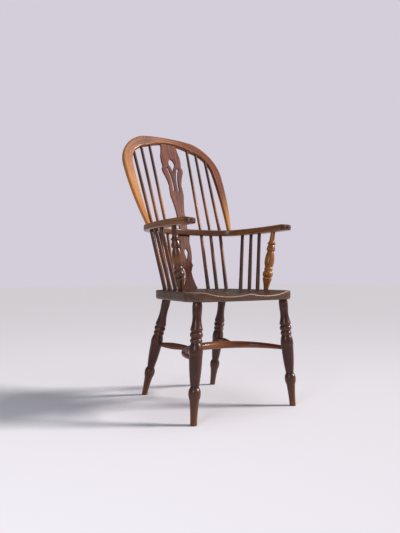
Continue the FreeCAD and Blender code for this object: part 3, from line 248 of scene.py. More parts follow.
def grain_group() -> bpy.types.NodeTree:
    """Growth rings, fibres and pores of timber whose length runs along Z.

    Returns:
        A group from the timber coordinates and the ring gap to three masks.
    """
    graph, given, out = new_group(
        "timber_grain", {"Timber": "NodeSocketVector", "Ring Gap": "NodeSocketFloat"},
        {"Rings": "NodeSocketFloat", "Fibre": "NodeSocketFloat", "Pores": "NodeSocketFloat"})
    timber = given["Timber"]
    wander = graph.add("ShaderNodeTexNoise", {"Vector": graph.scaled(timber, (1.0, 1.0, 0.12)),
                                              "Scale": 16.0, "Detail": 2.0})
    drift = graph.add("ShaderNodeVectorMath", {0: wander.outputs["Color"], 1: (0.035, 0.035, 0.0),
                                               2: graph.scaled(timber, (1.0, 1.0, 0.0))},
                      operation="MULTIPLY_ADD")
    from_pith = graph.add("ShaderNodeVectorMath", {0: drift.outputs[0]}, operation="LENGTH")
    rings = graph.math("DIVIDE", from_pith.outputs["Value"], given["Ring Gap"])
    saw = graph.math("PINGPONG", rings, 1.0)
    graph.feed(out["Rings"], graph.ramp(saw, 0.0, 1.0))
    fine = graph.noise(graph.scaled(timber, (1.0, 1.0, 0.025)), 900.0, detail=4.0)
    graph.feed(out["Fibre"], graph.ramp(fine, 0.30, 0.70))
    specks = graph.noise(graph.scaled(timber, (1.0, 1.0, 0.05)), 1700.0, detail=1.0)
    early = graph.ramp(graph.math("SUBTRACT", 1.0, saw), 0.35, 0.9)
    graph.feed(out["Pores"], graph.math("MULTIPLY", graph.ramp(specks, 0.60, 0.70), early))
    return graph.tree


def age_group() -> bpy.types.NodeTree:
    """Rubbed arrises, dirt in the hollows and painted shade where a piece's relief is set low, and patches
    left by hands and polish.

    Returns:
        A group from the timber coordinates and the piece's relief to three masks.
    """
    graph, given, out = new_group(
        "hand_wear", {"Timber": "NodeSocketVector", "Relief": "NodeSocketFloat"},
        {"Worn": "NodeSocketFloat", "Grime": "NodeSocketFloat", "Patches": "NodeSocketFloat"})
    timber = given["Timber"]
    broken = graph.noise(timber, 140.0, detail=4.0, roughness=0.65)
    shift = graph.math("MULTIPLY", graph.math("SUBTRACT", broken, 0.5), 0.55)
    relief = graph.math("ADD", given["Relief"], shift)
    graph.feed(out["Worn"], graph.ramp(relief, 0.62, 0.95))
    graph.feed(out["Grime"], graph.ramp(graph.math("SUBTRACT", 1.0, relief), 0.62, 0.92))
    large = graph.noise(graph.scaled(timber, (1.0, 1.0, 0.3)), 22.0, detail=3.0, roughness=0.6)
    graph.feed(out["Patches"], graph.ramp(large, 0.42, 0.66))
    return graph.tree


class Polisher:
    """Makes the chair's materials, one for each finish, from two shared effects."""

    def __init__(self) -> None:
        """Build the shared node groups once."""
        self.grain = grain_group()
        self.age = age_group()
        self.made: dict[str, bpy.types.Material] = {}

    def material(self, finish: Finish) -> bpy.types.Material:
        """Give the material of a finish, made the first time it is asked for.

        Args:
            finish: The finish to make.

        Returns:
            The material, which every piece of that finish shares.
        """
        if finish.slot not in self.made:
            self.made[finish.slot] = self.make(finish)
        return self.made[finish.slot]

    def make(self, finish: Finish) -> bpy.types.Material:
        """Build the waxed wood material of one finish."""
        material = bpy.data.materials.new(finish.slot)
        material.use_nodes = True
        graph = Graph(material.node_tree)
        timber = graph.attribute("timber").outputs["Vector"]
        relief = graph.attribute("relief").outputs["Fac"]
        # The rubbed mask: wear on most pieces, painted light on the hoop's right-hand limb and left foot,
        # painted shade on the arm supports.
        handled = graph.attribute("rubbed").outputs["Fac"]

        grain = graph.add("ShaderNodeGroup", {"Timber": timber, "Ring Gap": finish.ring_gap},
                          node_tree=self.grain)
        age = graph.add("ShaderNodeGroup", {"Timber": timber, "Relief": relief}, node_tree=self.age)
        rings, fibre, pores = (grain.outputs[name] for name in ("Rings", "Fibre", "Pores"))
        worn, grime, patches = (age.outputs[name] for name in ("Worn", "Grime", "Patches"))

        tone = graph.math("MULTIPLY_ADD", rings, finish.ring_contrast, (1.0 - finish.ring_contrast) / 2)
        streaks = graph.math("MULTIPLY", graph.math("SUBTRACT", fibre, 0.5), finish.fibre)
        colour = graph.mix(graph.math("ADD", tone, streaks, clamp=True), finish.deep, finish.pale)
        colour = graph.mix(graph.math("MULTIPLY", patches, finish.patchiness), colour, finish.patch)
        colour = graph.mix(graph.math("MULTIPLY", worn, finish.wear), colour, finish.worn)
        # Lays the rubbed colour: wear, painted light on the hoop and painted shade on the arm supports.
        uneven = graph.math("MULTIPLY_ADD", fibre, 0.4, 0.7)
        colour = graph.mix(graph.math("MULTIPLY", handled, uneven, clamp=True), colour, finish.rubbed)
        colour = graph.mix(graph.math("MULTIPLY", pores, 0.5), colour, finish.grime)
        # Darkens the hollows with dirt, and paints shade on the splats' opening walls, whose relief is set
        # low.
        colour = graph.mix(graph.math("MULTIPLY", grime, finish.grime_depth), colour, finish.grime)

        rough = graph.math("MULTIPLY_ADD", fibre, -0.10, finish.roughness + 0.05)
        rough = graph.math("ADD", rough, graph.math("MULTIPLY", patches, 0.07))
        rough = graph.math("ADD", rough, graph.math("MULTIPLY", grime, 0.25), clamp=True)

        dents = graph.noise(timber, 55.0, detail=2.0)
        height = graph.math("ADD", graph.math("MULTIPLY", fibre, 0.30), graph.math("MULTIPLY", dents, 1.6))
        height = graph.math("SUBTRACT", height, graph.math("MULTIPLY", pores, 0.6))
        bump = graph.add("ShaderNodeBump", {"Strength": finish.relief, "Distance": 0.4 * MM,
                                            "Height": height})
        shader = graph.add("ShaderNodeBsdfPrincipled", {
            "Base Color": colour, "Roughness": rough, "Specular IOR Level": finish.specular,
            "Coat Weight": finish.coat, "Coat Roughness": finish.coat_roughness,
            "Normal": bump.outputs["Normal"]})
        graph.add("ShaderNodeOutputMaterial", {"Surface": shader.outputs["BSDF"]})
        return material


class Profile:
    """Half the outline of a turned piece, drawn upwards as radii at heights."""

    GRAIN_STEP = 2.2 * MM

    def __init__(self, height: float, radius: float) -> None:
        """Start at a height with a radius."""
        self.points: list[tuple[float, float]] = [(height, radius)]

    @property
    def height(self) -> float:
        """The height reached so far."""
        return self.points[-1][0]

    def line(self, radius: float, rise: float) -> None:
        """A straight stretch, level where its rise is nothing."""
        start_height, start_radius = self.points[-1]
        steps = max(1, round(rise / (3 * self.GRAIN_STEP)))
        for step in range(1, steps + 1):
            share = step / steps
            self.points.append((start_height + rise * share, start_radius + (radius - start_radius) * share))

    def curve(self, radius: float, rise: float, swell: float) -> None:
        """A round stretch that stands swell proud of its chord, or inside it if negative."""
        start = Vector((self.points[-1][1], self.points[-1][0]))
        end = Vector((radius, self.points[-1][0] + rise))
        for point in arc_through(start, end, -swell, self.GRAIN_STEP)[1:]:
            self.points.append((point.y, point.x))

    def bead(self, foot_radius: float, radius: float, width: float) -> None:
        """A round bead on a foot of its own radius."""
        self.curve(foot_radius, width, radius - foot_radius)

    def stations(self) -> list[Station]:
        """The stations through which round stock is drawn."""
        return [(height, radius, radius) for height, radius in self.points]


def arc_through(start: Vector, end: Vector, swell: float, step: float) -> list[Vector]:
    """Points of a round edge that stands swell to the left of its chord.

    Args:
        start: Where the edge starts, in its plane.
        end: Where it ends.
        swell: How far its middle lies from the chord; negative is to the right.
        step: About how far apart the points are.

    Returns:
        The points, both ends among them.
    """
    chord = end - start
    half = chord.length / 2
    radius = (half * half + swell * swell) / (2 * abs(swell))
    across = Vector((-chord.y, chord.x)).normalized() * math.copysign(1.0, swell)
    centre = (start + end) / 2 + across * (abs(swell) - radius)
    opening = 2 * math.atan2(half, radius - abs(swell))
    count = max(3, math.ceil(opening * radius / step))
    first = math.atan2(start.y - centre.y, start.x - centre.x)
    turn = -math.copysign(opening, swell)
    turns = [first + turn * i / count for i in range(count + 1)]
    return [centre + Vector((math.cos(at), math.sin(at))) * radius for at in turns]


class Former:
    """A line in space over which straight stock is bent."""

    def __init__(self, points: Sequence[Vector], up: Vector) -> None:
        """Keep the line and its directions.

        Args:
            points: The line, close enough together to be smooth.
            up: The direction that the stock's own Y axis keeps to.
        """
        self.points = np.array([tuple(point) for point in points])
        steps = np.linalg.norm(np.diff(self.points, axis=0), axis=1)
        self.reach = np.concatenate(([0.0], np.cumsum(steps)))
        tangents = np.gradient(self.points, self.reach, axis=0)
        self.tangents = tangents / np.linalg.norm(tangents, axis=1)[:, None]
        self.up = np.array(tuple(up), float)

    @property
    def length(self) -> float:
        """The length of the line."""
        return float(self.reach[-1])

    def place(self, stock: np.ndarray) -> np.ndarray:
        """Where points of the straight stock lie once it is bent.

        Args:
            stock: Points with their length along Z, which starts with the line.

        Returns:
            The same points on the former, carried on straight past its ends.
        """
        along = np.clip(stock[:, 2], 0.0, self.length)
        beyond = stock[:, 2] - along
        origin = np.stack([np.interp(along, self.reach, self.points[:, axis]) for axis in range(3)], 1)
        tangent = np.stack([np.interp(along, self.reach, self.tangents[:, axis]) for axis in range(3)], 1)
        tangent /= np.linalg.norm(tangent, axis=1)[:, None]
        across = np.cross(self.up, tangent)
        across /= np.linalg.norm(across, axis=1)[:, None]
        upward = np.cross(tangent, across)
        return origin + across * stock[:, :1] + upward * stock[:, 1:2] + tangent * beyond[:, None]


class Bench:
    """Where stock is drawn out, sawn, softened, marked and set in place."""

    @staticmethod
    def only(piece: bpy.types.Object) -> None:
        """Select one object alone and make it active."""
        bpy.ops.object.select_all(action="DESELECT")
        piece.select_set(True)
        bpy.context.view_layer.objects.active = piece

    @staticmethod
    def squared_section(half_x: float, half_y: float, corner: float) -> list[Vector]:
        """A rectangle with round corners, with points along its flats too."""
        signs = ((1, 1), (-1, 1), (-1, -1), (1, -1))
        middles = [Vector((x * (half_x - corner), y * (half_y - corner))) for x, y in signs]
        steps = 5
        points: list[Vector] = []
        for quarter, middle in enumerate(middles):
            turns = [math.pi / 2 * (quarter + i / steps) for i in range(steps + 1)]
            points += [middle + Vector((math.cos(turn), math.sin(turn))) * corner for turn in turns]
            following = middles[(quarter + 1) % len(middles)]
            end = following + Vector((math.cos(turns[-1]), math.sin(turns[-1]))) * corner
            points += [points[-1].lerp(end, share) for share in (0.25, 0.5, 0.75)]
        return points

    @staticmethod
    def sheet(name: str, corners: int, radius: float = 1.0, height: float = 0.0) -> bpy.types.Object:
        """Lay down one flat round face, which the stock is drawn from."""
        bpy.ops.object.select_all(action="DESELECT")
        bpy.ops.mesh.primitive_circle_add(vertices=corners, radius=radius, fill_type="NGON",
                                          location=(0, 0, height))
        piece = bpy.context.object
        piece.name = name
        return piece

    @classmethod
    def draw_out(cls, name: str, section: Section, stations: Sequence[Station], sides: int = 40,
                 corner: float = 0.0, nominal: tuple[float, float] = (0.0, 0.0)) -> bpy.types.Object:
        """Draw stock up through stations, as extruded and resized by hand.

        Args:
            name: The new piece's name.
            section: Whether the stock is round or squared with rounded corners.
            stations: Height and both half widths at each station, from the bottom up.
            sides: How many flats stand for a round section.
            corner: The radius of a squared section's corners.
            nominal: The half widths at which that radius is true.

        Returns:
            A closed straight piece that stands on the XY plane's origin.
        """
        height, half_x, half_y = stations[0]
        outline = cls.squared_section(*nominal, corner) if section is Section.SQUARED else []
        piece = cls.sheet(name, len(outline) or sides, half_x, height)
        bpy.ops.object.transform_apply(location=True, rotation=True, scale=True)
        for vertex, point in zip(piece.data.vertices, outline):
            vertex.co = (point.x * half_x / nominal[0], point.y * half_y / nominal[1], height)
        bpy.ops.object.mode_set(mode="EDIT")
        bpy.ops.mesh.select_all(action="SELECT")
        for next_height, next_x, next_y in stations[1:]:
            bpy.ops.mesh.extrude_region_move(
                TRANSFORM_OT_translate={"value": (0, 0, next_height - height)})
            bpy.ops.transform.resize(value=(next_x / half_x, next_y / half_y, 1.0),
                                     center_override=(0, 0, next_height))
            height, half_x, half_y = next_height, next_x, next_y
        cls.close_edit()
        return piece

    @classmethod
    def trim(cls, piece: bpy.types.Object, place: Vector, normal: Vector) -> None:
        """Saw off what lies behind a plane, and close the cut."""
        cls.only(piece)
        bpy.ops.object.mode_set(mode="EDIT")
        bpy.ops.mesh.select_all(action="SELECT")
        bpy.ops.mesh.bisect(plane_co=place, plane_no=normal, use_fill=True, clear_inner=True)
        cls.close_edit()

    @staticmethod
    def close_edit() -> None:
        """Turn every face outwards and leave edit mode."""
        bpy.ops.mesh.select_all(action="SELECT")
        bpy.ops.mesh.normals_make_consistent(inside=False)
        bpy.ops.object.mode_set(mode="OBJECT")

    @classmethod
    def board(cls, name: str, outline: Sequence[Vector], thickness: float) -> bpy.types.Object:
        """Saw a board to an outline drawn in the XZ plane, half its thickness either side.

        Args:
            name: The new piece's name.
            outline: The outline's points once round, as (x, z) pairs.
            thickness: The board's thickness along Y.

        Returns:
            The board, closed, with plain square edges.
        """
        piece = cls.sheet(name, len(outline))
        for vertex, point in zip(piece.data.vertices, outline):
            vertex.co = (point.x, -thickness / 2, point.y)
        bpy.ops.object.mode_set(mode="EDIT")
        bpy.ops.mesh.select_all(action="SELECT")
        bpy.ops.mesh.extrude_region_move(TRANSFORM_OT_translate={"value": (0, thickness, 0)})
        cls.close_edit()
        return piece

    @classmethod
    def apply(cls, piece: bpy.types.Object, kind: str, **settings: object) -> None:
        """Add a modifier to a piece and apply it.

        Args:
            piece: The piece to work on.
            kind: The modifier's type name.
            settings: Attributes to set on it.
        """
        cls.only(piece)
        modifier = piece.modifiers.new(kind.lower(), kind)
        for name, value in settings.items():
            setattr(modifier, name, value)
        bpy.ops.object.modifier_apply(modifier=modifier.name)

    @classmethod
    def pierce(cls, piece: bpy.types.Object, cutter: bpy.types.Object) -> None:
        """Cut an opening through a piece with another, which is then removed."""
        cls.apply(piece, "BOOLEAN", operation="DIFFERENCE", solver="EXACT", object=cutter)
        bpy.data.objects.remove(cutter)

    @classmethod
    def soften(cls, piece: bpy.types.Object, width: float, segments: int = 2,
               angle: float = 35.0) -> None:
        """Round the piece's crisp edges by a small width."""
        cls.apply(piece, "BEVEL", width=width, segments=segments, limit_method="ANGLE",
                  angle_limit=math.radians(angle), harden_normals=False)

    @classmethod
    def smooth(cls, piece: bpy.types.Object, angle: float = 38.0) -> None:
        """Shade the piece smooth wherever it doesn't turn sharply."""
        cls.only(piece)
        bpy.ops.object.shade_smooth_by_angle(angle=math.radians(angle))

    @classmethod
    def set_in_place(cls, piece: bpy.types.Object, placing: Matrix) -> None:
        """Move a piece to its place and keep that place in its mesh."""
        cls.only(piece)
        piece.matrix_world = placing
        bpy.ops.object.transform_apply(location=True, rotation=True, scale=True)

    @staticmethod
    def coordinates(piece: bpy.types.Object) -> np.ndarray:
        """The piece's vertices as rows of three numbers."""
        flat = np.empty(len(piece.data.vertices) * 3)
        piece.data.vertices.foreach_get("co", flat)
        return flat.reshape(-1, 3)

    @staticmethod
    def move_vertices(piece: bpy.types.Object, places: np.ndarray) -> None:
        """Put the piece's vertices at new places."""
        piece.data.vertices.foreach_set("co", places.ravel())
        piece.data.update()

    @staticmethod
    def keep(piece: bpy.types.Object, name: str, values: np.ndarray) -> None:
        """Store a number or a vector for each vertex under a name."""
        kind, key = ("FLOAT_VECTOR", "vector") if values.ndim == 2 else ("FLOAT", "value")
        attribute = piece.data.attributes.get(name) or piece.data.attributes.new(name, kind, "POINT")
        attribute.data.foreach_set(key, values.astype(np.float32).ravel())

    @classmethod
    def mark(cls, piece: bpy.types.Object, pith: Vector, handled: Callable[[np.ndarray], np.ndarray] | None,
             stock: np.ndarray | None = None, depth: float = 0.5 * MM, passes: int = 6,
             relief: np.ndarray | None = None) -> None:
        """Mark the piece with its grain, its relief and where hands have been, and on some pieces where
        light or shade is painted.

        Args:
            piece: The piece, before it is bent or placed.
            pith: Where the tree's pith lies in the stock, with a length along it.
            handled: From stock coordinates to how far each point takes the rubbed colour, 0 to 1; this is
                wear on most pieces and painted light or shade on some.
            stock: The stock's coordinates where they aren't the piece's own.
            depth: How proud of its surroundings an arris is when fully worn.
            passes: How wide those surroundings are.
            relief: The relief, 0 to 1, where it is known beforehand.
        """
        own = cls.coordinates(piece)
        grain = own if stock is None else stock
        cls.keep(piece, "timber", grain + np.array(tuple(pith)))
        rubbed = np.zeros(len(own)) if handled is None else np.clip(handled(grain), 0.0, 1.0)
        cls.keep(piece, "rubbed", rubbed)
        if relief is not None:
            cls.keep(piece, "relief", relief)
            return
        edges = np.empty(len(piece.data.edges) * 2, np.int32)
        piece.data.edges.foreach_get("vertices", edges)
        one, other = edges.reshape(-1, 2).T
        degree = np.bincount(np.concatenate((one, other)), minlength=len(own)).clip(1)[:, None]
        blurred = own.copy()
        for _ in range(passes):
            total = np.zeros_like(blurred)
            np.add.at(total, one, blurred[other])
            np.add.at(total, other, blurred[one])
            blurred = (blurred + total / degree) / 2
        normals = np.empty(len(own) * 3)
        piece.data.vertex_normals.foreach_get("vector", normals)
        proud = ((own - blurred) * normals.reshape(-1, 3)).sum(1)
        proud -= 0.6 * np.median(proud)
        cls.keep(piece, "relief", np.clip(0.5 + proud / (2 * depth), 0.0, 1.0))

    @classmethod
    def bend(cls, piece: bpy.types.Object, former: Former) -> None:
        """Bend a straight piece over a former."""
        cls.move_vertices(piece, former.place(cls.coordinates(piece)))

    @classmethod
    def pair(cls, piece: bpy.types.Object) -> list[bpy.types.Object]:
        """Copy a piece once, with a mesh of its own.

        Args:
            piece: The piece that was modelled.

        Returns:
            The piece and its twin, in the order of the sides.
        """
        cls.only(piece)
        bpy.ops.object.duplicate(linked=False)
        return [piece, bpy.context.object]


class Joiner:
    """Finishes each piece and enters it in the chair."""

    FIT = 1.5 * MM

    def __init__(self) -> None:
        """Start with the materials ready and no piece made."""
        self.polisher = Polisher()
        self.made: list[str] = []

    def fit(self, piece: bpy.types.Object, node: str, finish: Finish) -> None:
        """Give a piece its finish, and let it stand for its node.

        Args:
            piece: The finished mesh, in its place.
            node: The node that it replaces.
            finish: The finish that it takes.
        """
        piece.name = f"{node}_wood"
        piece.data.materials.clear()
        piece.data.materials.append(self.polisher.material(finish))
        piece.data.name = piece.name
        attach(piece, "root")
        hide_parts(node)
        places = Bench.coordinates(piece)
        low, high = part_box(node)
        excess = max(max(low[axis] - places[:, axis].min(), places[:, axis].max() - high[axis])
                     for axis in range(3))
        if excess > self.FIT:
            log.warning("%s stands %.1f mm out of its node", piece.name, excess / MM)
        self.made.append(piece.name)
        log.info("%s: %d faces, %s", piece.name, len(piece.data.polygons), finish.slot)


def upright_to(foot: Vector, top: Vector) -> Matrix:
    """The placing that stands an upright piece at foot and leans it towards top."""
    lean = Vector((0, 0, 1)).rotation_difference(top - foot)
    return Matrix.Translation(foot) @ lean.to_matrix().to_4x4()


def leaned_back(foot: Vector, angle: float) -> Matrix:
    """The placing that stands an upright piece at foot and tips it back about X."""
    return Matrix.Translation(foot) @ Matrix.Rotation(-angle, 4, "X")


def round_plan(centre: Vector, radius: float, start: float, end: float, step: float) -> list[Vector]:
    """Points of an arc in plan, with angles measured from +Y towards +X."""
    count = max(2, math.ceil(abs(end - start) * radius / step))
    angles = [start + (end - start) * i / count for i in range(count + 1)]
    return [centre + Vector((math.sin(a), math.cos(a))) * radius for a in angles]


def seed(number: int) -> Vector:
    """A pith place for a numbered piece, so that no two show the same grain."""
    return Vector((9 * MM + 0.004 * ((number * 7) % 5), 14 * MM - 0.003 * ((number * 5) % 7), 1.37 * number))


@dataclass
class Seat:
    """The elm seat: a plank sawn to its outline and hollowed for the sitter."""

    top: float = 450 * MM
    thickness: float = 34 * MM
    back_edge: float = 119 * MM
    back_radius: float = 318 * MM
    back_half_span: float = 139 * MM
    shoulder_radius: float = 145 * MM
    side_flare: float = 0.105
    front_edge: float = -323 * MM
    front_radius: float = 1700 * MM
    corner_radius: float = 65 * MM
    top_rounding: float = 3 * MM
    bottom_rounding: float = 7 * MM
    stick_inset: float = 31 * MM
    dish: tuple[float, ...] = (0.0, -170 * MM, 8 * MM, 40 * MM, 225 * MM, 330 * MM)
    hollow: tuple[float, ...] = (84 * MM, -235 * MM, 17 * MM, 45 * MM, 140 * MM, 330 * MM)
    ridge_softness: float = 1.6 * MM
    bottom_count: int = 5
    side_count: int = 6
    top_count: int = 5
    crown_count: int = 60
    crown_middle: tuple[float, float] = (0.0, -110 * MM)
    crown_reach: float = 0.985

    def __post_init__(self) -> None:
        """Work out the centres of the outline's round edges."""
        self.back_centre = Vector((0.0, self.back_edge - self.back_radius))
        self.back_turn = math.asin(self.back_half_span / self.back_radius)
        toward = Vector((math.sin(self.back_turn), math.cos(self.back_turn)))
        self.shoulder = self.back_centre + toward * (self.back_radius - self.shoulder_radius)
        self.side_turn = math.pi / 2 - math.atan(self.side_flare)
        self.out = Vector((math.sin(self.side_turn), math.cos(self.side_turn)))
        self.along = Vector((self.out.y, -self.out.x))
        self.front_centre = Vector((0.0, self.front_edge + self.front_radius))
        inner = self.shoulder + self.out * (self.shoulder_radius - self.corner_radius)
        rise = inner - self.front_centre
        reach = self.front_radius - self.corner_radius
        middle = rise.dot(self.along)
        run = math.sqrt(middle * middle - rise.dot(rise) + reach * reach) - middle
        self.corner = inner + self.along * run

    def half_outline(self, step: float) -> list[Vector]:
        """The outline from the middle of the back round the left side to the front."""
        points = round_plan(self.back_centre, self.back_radius, 0, self.back_turn, step)
        points += round_plan(self.shoulder, self.shoulder_radius, self.back_turn, self.side_turn, step)[1:]
        side_end = self.corner + self.out * self.corner_radius
        count = round((side_end - points[-1]).length / step)
        points += [points[-1].lerp(side_end, i / count) for i in range(1, count + 1)]
        toward = (self.corner - self.front_centre).normalized()
        front_turn = math.atan2(toward.x, toward.y)
        points += round_plan(self.corner, self.corner_radius, self.side_turn, front_turn, step)[1:]
        points += round_plan(self.front_centre, self.front_radius, front_turn, math.pi, step)[1:]
        return points

    def surface(self, x: np.ndarray, y: np.ndarray) -> np.ndarray:
        """How high the hollowed top lies over points of the plan."""
        lows = [np.full_like(x, self.top)]
        for side in (-1, 0, 1):
            centre_x, centre_y, depth, height, half_width, half_length = self.hollow if side else self.dish
            across, along = (x - side * centre_x) / half_width, (y - centre_y) / half_length
            ball = np.sqrt(np.clip(1 - across ** 2 - along ** 2, 0, 1))
            lows.append(self.top + height - depth - height * ball)
        softness = self.ridge_softness
        return -softness * np.log(sum(np.exp((self.top - low) / softness) for low in lows)) + self.top

    def ring_point(self, x: float) -> Vector:
        """Where on the ring of sockets, behind the turn, an upright at x stands."""
        ring = self.back_radius - self.stick_inset
        if x <= self.back_half_span * ring / self.back_radius:
            return Vector((x, self.back_centre.y + math.sqrt(ring ** 2 - x ** 2), self.top))
        ring = self.shoulder_radius - self.stick_inset
        return Vector((x, self.shoulder.y + math.sqrt(ring ** 2 - (x - self.shoulder.x) ** 2), self.top))

    def side_ring_point(self, y: float) -> Vector:
        """Where on the ring of sockets, beside the sitter, an upright at y stands."""
        ring = self.shoulder_radius - self.stick_inset
        start = self.shoulder + self.out * ring
        if y <= start.y:
            return Vector((start.x + (start.y - y) * self.side_flare, y, self.top))
        return Vector((self.shoulder.x + math.sqrt(ring ** 2 - (y - self.shoulder.y) ** 2), y, self.top))

    def build(self, joiner: Joiner) -> None:
        """Saw, round and hollow the seat, and enter it."""
        half = self.half_outline(4 * MM)
        outline = half + [Vector((-p.x, p.y)) for p in reversed(half[1:-1])]
        ring = np.array([tuple(p) for p in outline])
        around = np.roll(ring, -1, 0) - np.roll(ring, 1, 0)
        inward = np.stack((around[:, 1], -around[:, 0]), 1) / np.linalg.norm(around, axis=1)[:, None]
        if (inward * (self.shoulder.y - ring)).sum() < 0 and (inward[0] @ (0, -1)) < 0:
            inward = -inward
        underside = self.top - self.thickness
        levels: list[tuple[float, float, float]] = []
        for i in range(self.bottom_count + 1):
            turn = math.pi / 2 * i / self.bottom_count
            levels.append((self.bottom_rounding * (1 - math.sin(turn)),
                           self.bottom_rounding * (1 - math.cos(turn)), 0.0))
        for i in range(1, self.side_count + 1):
            levels.append((0.0, self.bottom_rounding, i / self.side_count))
        for i in range(1, self.top_count + 1):
            turn = math.pi / 2 * i / self.top_count
            levels.append((self.top_rounding * (1 - math.cos(turn)),
                           -self.top_rounding * (1 - math.sin(turn)), 1.0))

        piece = Bench.sheet("seat", len(ring))
        bpy.ops.object.mode_set(mode="EDIT")
        for _ in range(len(levels) + self.crown_count - 1):
            bpy.ops.mesh.extrude_region_move(TRANSFORM_OT_translate={"value": (0, 0, 0.4 * MM)})
        bpy.ops.object.mode_set(mode="OBJECT")

        arris = ring + inward * self.top_rounding
        edge_height = self.surface(arris[:, 0], arris[:, 1])
        rows = []
        for inset, lift, share in levels:
            plan = ring + inward * inset
            if share < 1.0 and lift >= 0:
                base = underside + lift
                height = base + (edge_height - self.top_rounding - base) * share
            else:
                height = edge_height + min(lift, 0.0) if lift <= 0 else edge_height - self.top_rounding
            rows.append(np.column_stack((plan, height)))
        middle = np.array(self.crown_middle)
        for i in range(1, self.crown_count + 1):
            share = 1 - self.crown_reach * (i / self.crown_count)
            plan = middle + (arris - middle) * share
            rows.append(np.column_stack((plan, self.surface(plan[:, 0], plan[:, 1]))))
        Bench.move_vertices(piece, np.concatenate(rows))
        Bench.only(piece)
        bpy.ops.object.mode_set(mode="EDIT")
        Bench.close_edit()
        Bench.smooth(piece)

        own = Bench.coordinates(piece)
        stock = np.column_stack((own[:, 2] - self.top, own[:, 1], own[:, 0]))
        arris_start = len(ring) * (len(levels) - self.top_count)
        arris_end = len(ring) * (len(levels) + 1)

        def front_arris(points: np.ndarray) -> np.ndarray:
            """The front's upper arris, rubbed pale by knees."""
            order = np.arange(len(points))
            on_arris = (order >= arris_start) & (order < arris_end)
            near_side = np.clip((0.10 - points[:, 0]) / 0.14, 0.35, 1)
            return on_arris * near_side * np.clip((-0.24 - points[:, 1]) / 0.06, 0, 0.7)

        Bench.mark(piece, Vector((0.11, 0.03, 0.7)), front_arris, stock=stock, depth=0.9 * MM, passes=10)
        joiner.fit(piece, "seat", SEAT_WOOD)


@dataclass
class Leg:
    """One turned leg, drawn up its length from the floor."""

    name: str
    side: Side
    foot: Vector
    top: Vector
    number: int
    allowance: float = 6 * MM
    foot_radius: float = 11.8 * MM
    ankle_height: float = 84 * MM
    ankle_radius: float = 17 * MM
    ankle_hollow: float = 1.2 * MM
    bulb_rise: tuple[float, float, float] = (21.5 * MM, 22 * MM, 1.2 * MM)
    bulb_fall: tuple[float, float, float] = (18 * MM, 16 * MM, 1.2 * MM)
    shank: tuple[float, float] = (15 * MM, 6 * MM)
    vase: tuple[float, float, float] = (23.5 * MM, 104 * MM, 1.6 * MM)
    neck: tuple[float, float, float] = (18.2 * MM, 44 * MM, 3.2 * MM)
    small_bead: tuple[float, float, float] = (18.4 * MM, 21.6 * MM, 16 * MM)
    small_gap: float = 3 * MM
    large_bead: tuple[float, float, float] = (18.8 * MM, 23 * MM, 19 * MM)
    large_gap: float = 2 * MM
    rim_radius: float = 21.8 * MM
    rim_slope: float = 4 * MM
    rim_width: float = 5 * MM
    waist_drop: float = 36 * MM
    waist_radius: float = 17.2 * MM
    waist_hollow: float = 3.2 * MM
    top_radius: float = 17.6 * MM
    seat_entry: float = 12 * MM
    tenon: tuple[float, float] = (13 * MM, 14 * MM)
    floor_gap: float = 0.06 * MM
    arris: float = 0.5 * MM

    def profile(self, length: float) -> Profile:
        """Half the leg's outline for a length from the floor to the seat's underside."""
        leg = Profile(-self.allowance, self.foot_radius)
        leg.curve(self.ankle_radius, self.allowance + self.ankle_height, -self.ankle_hollow)
        leg.curve(*self.bulb_rise)
        leg.curve(*self.bulb_fall)
        leg.line(*self.shank)
        leg.curve(*self.vase)
        leg.curve(*self.neck)
        for bead, gap in ((self.small_bead, self.small_gap), (self.large_bead, self.large_gap)):
            leg.line(bead[0], 0)
            leg.bead(*bead)
            leg.line(bead[0], gap)
        leg.line(self.rim_radius, self.rim_slope)
        leg.line(self.rim_radius, self.rim_width)
        leg.curve(self.waist_radius, length - self.waist_drop - leg.height, -self.waist_hollow)
        leg.line(self.top_radius, self.waist_drop - self.seat_entry)
        leg.line(self.tenon[0], self.seat_entry + self.tenon[1])
        return leg

    def turn(self) -> bpy.types.Object:
        """Turn the leg, longer at its foot than it ends up."""
        outline = self.profile((self.top - self.foot).length)
        return Bench.draw_out(self.name, Section.ROUND, outline.stations())

    def stand(self, piece: bpy.types.Object, joiner: Joiner) -> None:
        """Trim a turned leg's foot to the floor and stand it in place."""
        placing = upright_to(self.side.of(self.foot), self.side.of(self.top))
        floor = placing.to_3x3().inverted() @ Vector((0, 0, 1))
        Bench.trim(piece, floor * self.floor_gap, floor)
        Bench.soften(piece, self.arris)
        Bench.smooth(piece)

        def kicked(points: np.ndarray) -> np.ndarray:
            """The foot and the bulb above it, where shoes have rubbed the colour off."""
            return 0.75 * np.clip(1 - points[:, 2] / 0.13, 0, 1)

        Bench.mark(piece, seed(self.number), kicked)
        Bench.set_in_place(piece, placing)
        joiner.fit(piece, self.name, LEG_WOOD)


